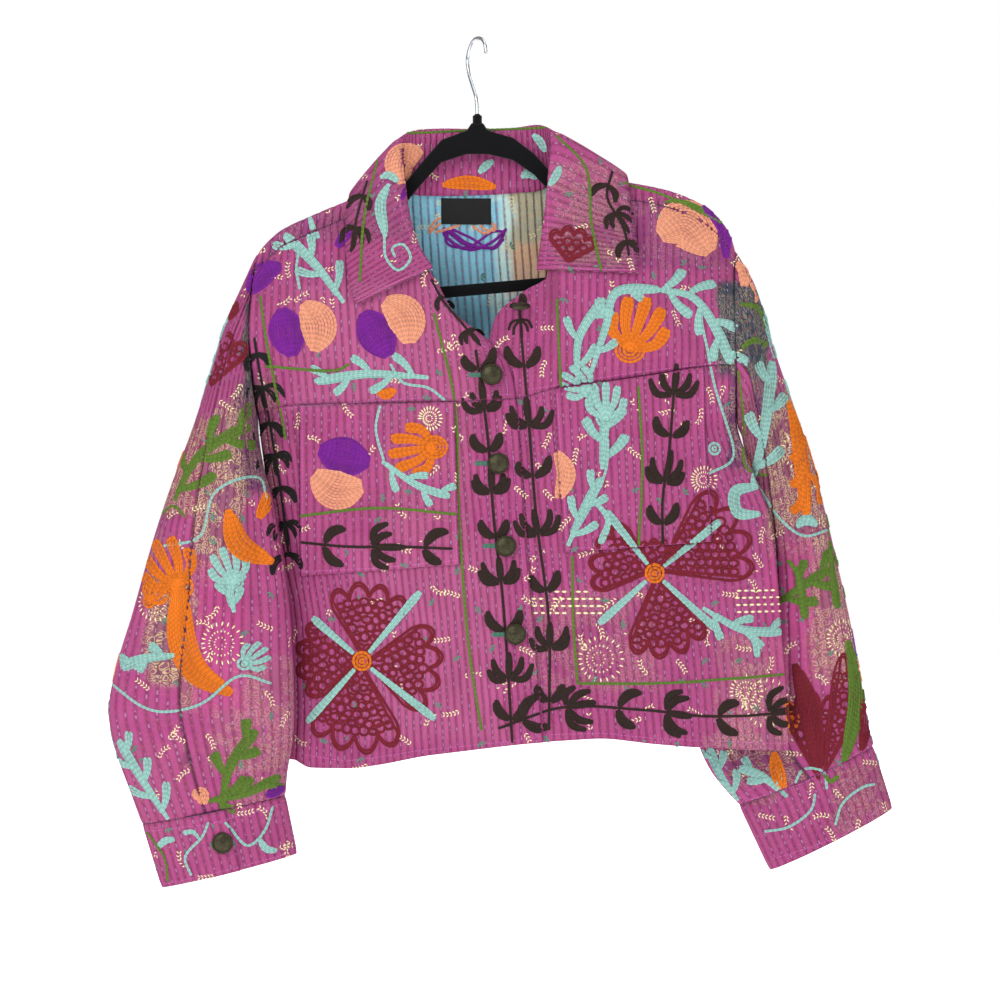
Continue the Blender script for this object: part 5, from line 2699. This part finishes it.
@dataclass
class Embroidery:
    """All that is sewn or printed on the finished cloth.

    Args:
        seed: the seed of the printed sprigs.
        stitched: the rows of topstitch, in pixels.
        holes: the middles of the buttonholes, in pixels.
    """

    seed: int = 5
    stitched: tuple[tuple[tuple[float, float], ...], ...] = (
        ((441, 284), (456, 312), (474, 327), (493, 341), (508, 358), (515, 377), (520, 440), (529, 541),
            (538, 646), (546, 734)),
        ((432, 284), (447, 318), (466, 334), (483, 347), (499, 363), (506, 379), (511, 440), (520, 541),
            (529, 646), (537, 735)),
        ((356, 304), (397, 286), (432, 272), (416, 248), (404, 221), (400, 198)),
        ((548, 184), (547, 232), (544, 268), (582, 273), (632, 273), (629, 235), (622, 200)),
        ((304, 408), (304, 571), (380, 567), (458, 559), (451, 406)),
        ((556, 396), (566, 548), (636, 544), (706, 537), (699, 369)),
        ((296, 752), (346, 759), (416, 747), (512, 736), (540, 732)),
        ((550, 730), (600, 729), (653, 734), (786, 743)),
        ((286, 409), (400, 401), (514, 396)), ((524, 392), (636, 374), (732, 363)),
        ((168, 880), (222, 866), (292, 849)), ((148, 828), (214, 818), (286, 800)),
        ((776, 864), (846, 838), (890, 808)), ((746, 806), (806, 786), (870, 752)),
    )
    holes: tuple[tuple[float, float], ...] = ((477, 377), (483, 464), (491, 545), (500, 632))

    def sew(self, cloth: dict[str, bpy.types.Object]) -> list[bpy.types.Object]:
        """Embroiders all sides and prints the sprigs.

        Args:
            cloth: the sheets by node.

        Returns:
            The pieces that it adds.
        """
        needle = Needle(cloth)
        for motif in [*front_motifs(), *sleeve_motifs()]:
            needle.chain(motif, FROM_FRONT)
        for x, y in self.holes:
            needle.chain(Stroke(Thread.SAGE, Profile.STEM, 2.4, ((x - 8, y), (x + 6, y))), FROM_FRONT)
        for motif in back_motifs():
            needle.chain(motif, FROM_BACK)
        for facing, left in ((FROM_RIGHT, False), (FROM_LEFT, True)):
            for motif in side_motifs(left):
                needle.chain(motif, facing)
        thread = needle.finish("embroidery")
        for line in self.stitched:
            needle.topstitch(plane(line), FROM_FRONT)
        self.print_sprigs(needle)
        ink = needle.finish("print")
        finishes = Finishes()
        for pieces, finish in ((thread, finishes.thread("wool_thread", 0.8)),
                               (ink, finishes.thread("printed_ink", 0.1))):
            for made in pieces:
                made.data.materials.append(finish)
        return [*thread, *ink]

    def print_sprigs(self, needle: Needle) -> None:
        """Prints small leaf sprigs all over the front and back."""
        chance = np.random.default_rng(self.seed)
        for facing in (FROM_FRONT, FROM_BACK):
            for gx in range(110, 900, SPRIG_PITCH):
                for gy in range(140, 880, SPRIG_PITCH):
                    if chance.uniform() < SPRIG_BARE:
                        continue
                    place = plane([(gx + chance.uniform(-9, 9), gy + chance.uniform(-9, 9))])[0]
                    self.sprig(needle, place, facing, chance)
        for x0, x1 in DASH_BANDS:
            for y in DASH_ROWS:
                for x in range(x0, x1, DASH_PITCH):
                    needle.leaf(plane([(x + y % 3, y)])[0], 0.0, 5.4, 2.2, Thread.CREAM, FROM_FRONT)
        for x, y, size in PAISLEYS:
            for facing in (FROM_FRONT, FROM_BACK):
                self.paisley(needle, plane([(x, y)])[0], size * PIXEL_MM, facing)

    def paisley(self, needle: Needle, place: Array, size: float, facing: Facing) -> None:
        """Prints a paisley: rays round a drop, with dots inside."""
        for share in np.linspace(0, 1, PAISLEY_RAYS, endpoint=False):
            turn = 2 * math.pi * share
            reach = size * (0.72 + 0.28 * math.cos(turn / 2) ** 2)
            for scale, length, width in PAISLEY_RINGS:
                if scale < 0.5 and round(share * PAISLEY_RAYS) % 2:
                    continue
                middle = place + reach * scale * np.array([math.cos(turn), math.sin(turn)])
                needle.leaf(middle, turn, length, width, Thread.CREAM, facing)

    def sprig(self, needle: Needle, place: Array, facing: Facing, chance: np.random.Generator) -> None:
        """Prints one sprig: a bent stem's leaves, or three greyish leaves."""
        angle = chance.uniform(0, 2 * math.pi)
        if chance.uniform() < 0.42:
            for turn in (-0.8, 0.0, 0.8):
                way = angle + turn
                middle = place + 3.4 * np.array([math.cos(way), math.sin(way)])
                needle.leaf(middle, way, 5.4, 2.0, Thread.SAGE, facing)
            return
        bend = chance.uniform(-0.32, 0.32)
        for step in range(5):
            angle += bend
            place = place + 3.3 * np.array([math.cos(angle), math.sin(angle)])
            for side in (-1, 1):
                way = angle + side * 0.75
                middle = place + 1.9 * np.array([math.cos(way), math.sin(way)])
                needle.leaf(middle, way, 3.4, 1.25, Thread.CREAM, facing)


# The soft lights: name, place and size in millimetres, power in watts; and the height they face
LIGHTS = (
    ("key_light", (-1300, -1900, 900), 1600, 39), ("fill_light", (1700, -1700, 300), 1900, 16),
    ("top_light", (0, -300, 1700), 1800, 15), ("back_light", (900, 2300, 500), 1900, 36),
)
LIT_Z = -400.0


@dataclass
class Studio:
    """The pale room, its soft lights and the camera at the photograph's angle.

    Args:
        photo: the photograph's width and height in pixels.
        distance: how far the camera is from the object's origin.
        sensor: the camera's sensor width.
        floor_z: the floor's height.
        reach: the floor's radius.
    """

    photo: float = 1000.0
    distance: float = 2300.0
    sensor: float = 36.0
    floor_z: float = -838.0
    reach: float = 4000.0

    def camera(self) -> bpy.types.Object:
        """Makes the camera, which looks along +Y at the middle of the photograph's frame."""
        data = bpy.data.cameras.new("camera")
        made = bpy.data.objects.new("camera", data)
        bpy.context.scene.collection.objects.link(made)
        half = self.photo / 2
        x, z = plane([(half, half)])[0]
        made.location = (x * MM, -self.distance * MM, z * MM)
        made.rotation_euler = (math.pi / 2, 0, 0)
        data.sensor_width = self.sensor
        data.sensor_fit = "HORIZONTAL"
        data.lens = self.sensor * self.distance / (self.photo * PIXEL_MM)
        data.clip_end = 20
        bpy.context.scene.camera = made
        return made

    def room(self) -> bpy.types.Object:
        """Makes the round pale floor."""
        sides = 96
        turn = np.linspace(0, 2 * math.pi, sides + 1)[:-1]
        points = np.stack(
            [self.reach * np.cos(turn), self.reach * np.sin(turn), np.full(sides, self.floor_z)],
            axis=-1,
        )
        made = add_object("studio_floor", points, [tuple(range(sides))])
        made.data.materials.append(plain_paper())
        return made

    def lights(self) -> None:
        """Adds the soft lights, and a pale sky that is plain white behind the object."""
        for name, place, size, power in LIGHTS:
            data = bpy.data.lights.new(name, "AREA")
            data.energy = power
            data.size = size * MM
            made = bpy.data.objects.new(name, data)
            bpy.context.scene.collection.objects.link(made)
            made.location = Vector(place) * MM
            way = Vector((0, 0, LIT_Z * MM)) - made.location
            made.rotation_euler = way.to_track_quat("-Z", "Y").to_euler()
        world = bpy.data.worlds.new("pale_sky")
        world.use_nodes = True
        g = Graph(world.node_tree)
        back = world.node_tree.nodes["Background"]
        g.fill(back, {"Color": (0.95, 0.97, 1.0, 1), "Strength": 0.32})
        sky = g.add("ShaderNodeBackground", {"Color": (1, 1, 1, 1)})
        seen = g.add("ShaderNodeLightPath").outputs["Is Camera Ray"]
        either = g.add("ShaderNodeMixShader", {0: seen, 1: back.outputs[0], 2: sky.outputs[0]})
        g.fill(world.node_tree.nodes["World Output"], {0: either.outputs[0]})
        bpy.context.scene.world = world
        bpy.context.scene.view_settings.view_transform = "Standard"


def plain_paper() -> bpy.types.Material:
    """Makes the floor's pale paper, which gives off light so that it renders white."""
    made, g, shader = Finishes().begin("studio_paper")
    g.fill(shader, {
        "Base Color": (0.94, 0.94, 0.94, 1), "Roughness": 0.95, "Emission Color": (1, 1, 1, 1),
        "Emission Strength": 0.74,
    })
    return made


def main() -> None:
    """Builds the studio and each sub-assembly in order, and reports each piece."""
    logging.basicConfig(level=logging.INFO, format="%(name)s: %(message)s")
    studio = Studio()
    studio.camera()
    studio.room()
    studio.lights()
    cloth: dict[str, bpy.types.Object] = dict(BodyPanels().build())
    for pocket in POCKETS:
        cloth[pocket.name] = pocket.build()
    for sleeve in SLEEVES:
        cloth.update(sleeve.build())
    cloth["collar"] = Collar().build()
    cloth["neck_label"] = NeckLabel().build()
    button = Button()
    buttons = button.copies(button.model())
    hanger = Hanger().build()
    Finishes().dress(cloth, buttons, hanger)
    threads = Embroidery().sew(cloth)
    total = 0
    for made in [*cloth.values(), *buttons, *hanger, *threads]:
        triangles = sum(len(face.vertices) - 2 for face in made.data.polygons)
        total += triangles
        log.info("%s: %d triangles", made.name, triangles)
    log.info("all pieces: %d triangles", total)


if __name__ == "__main__":
    main()
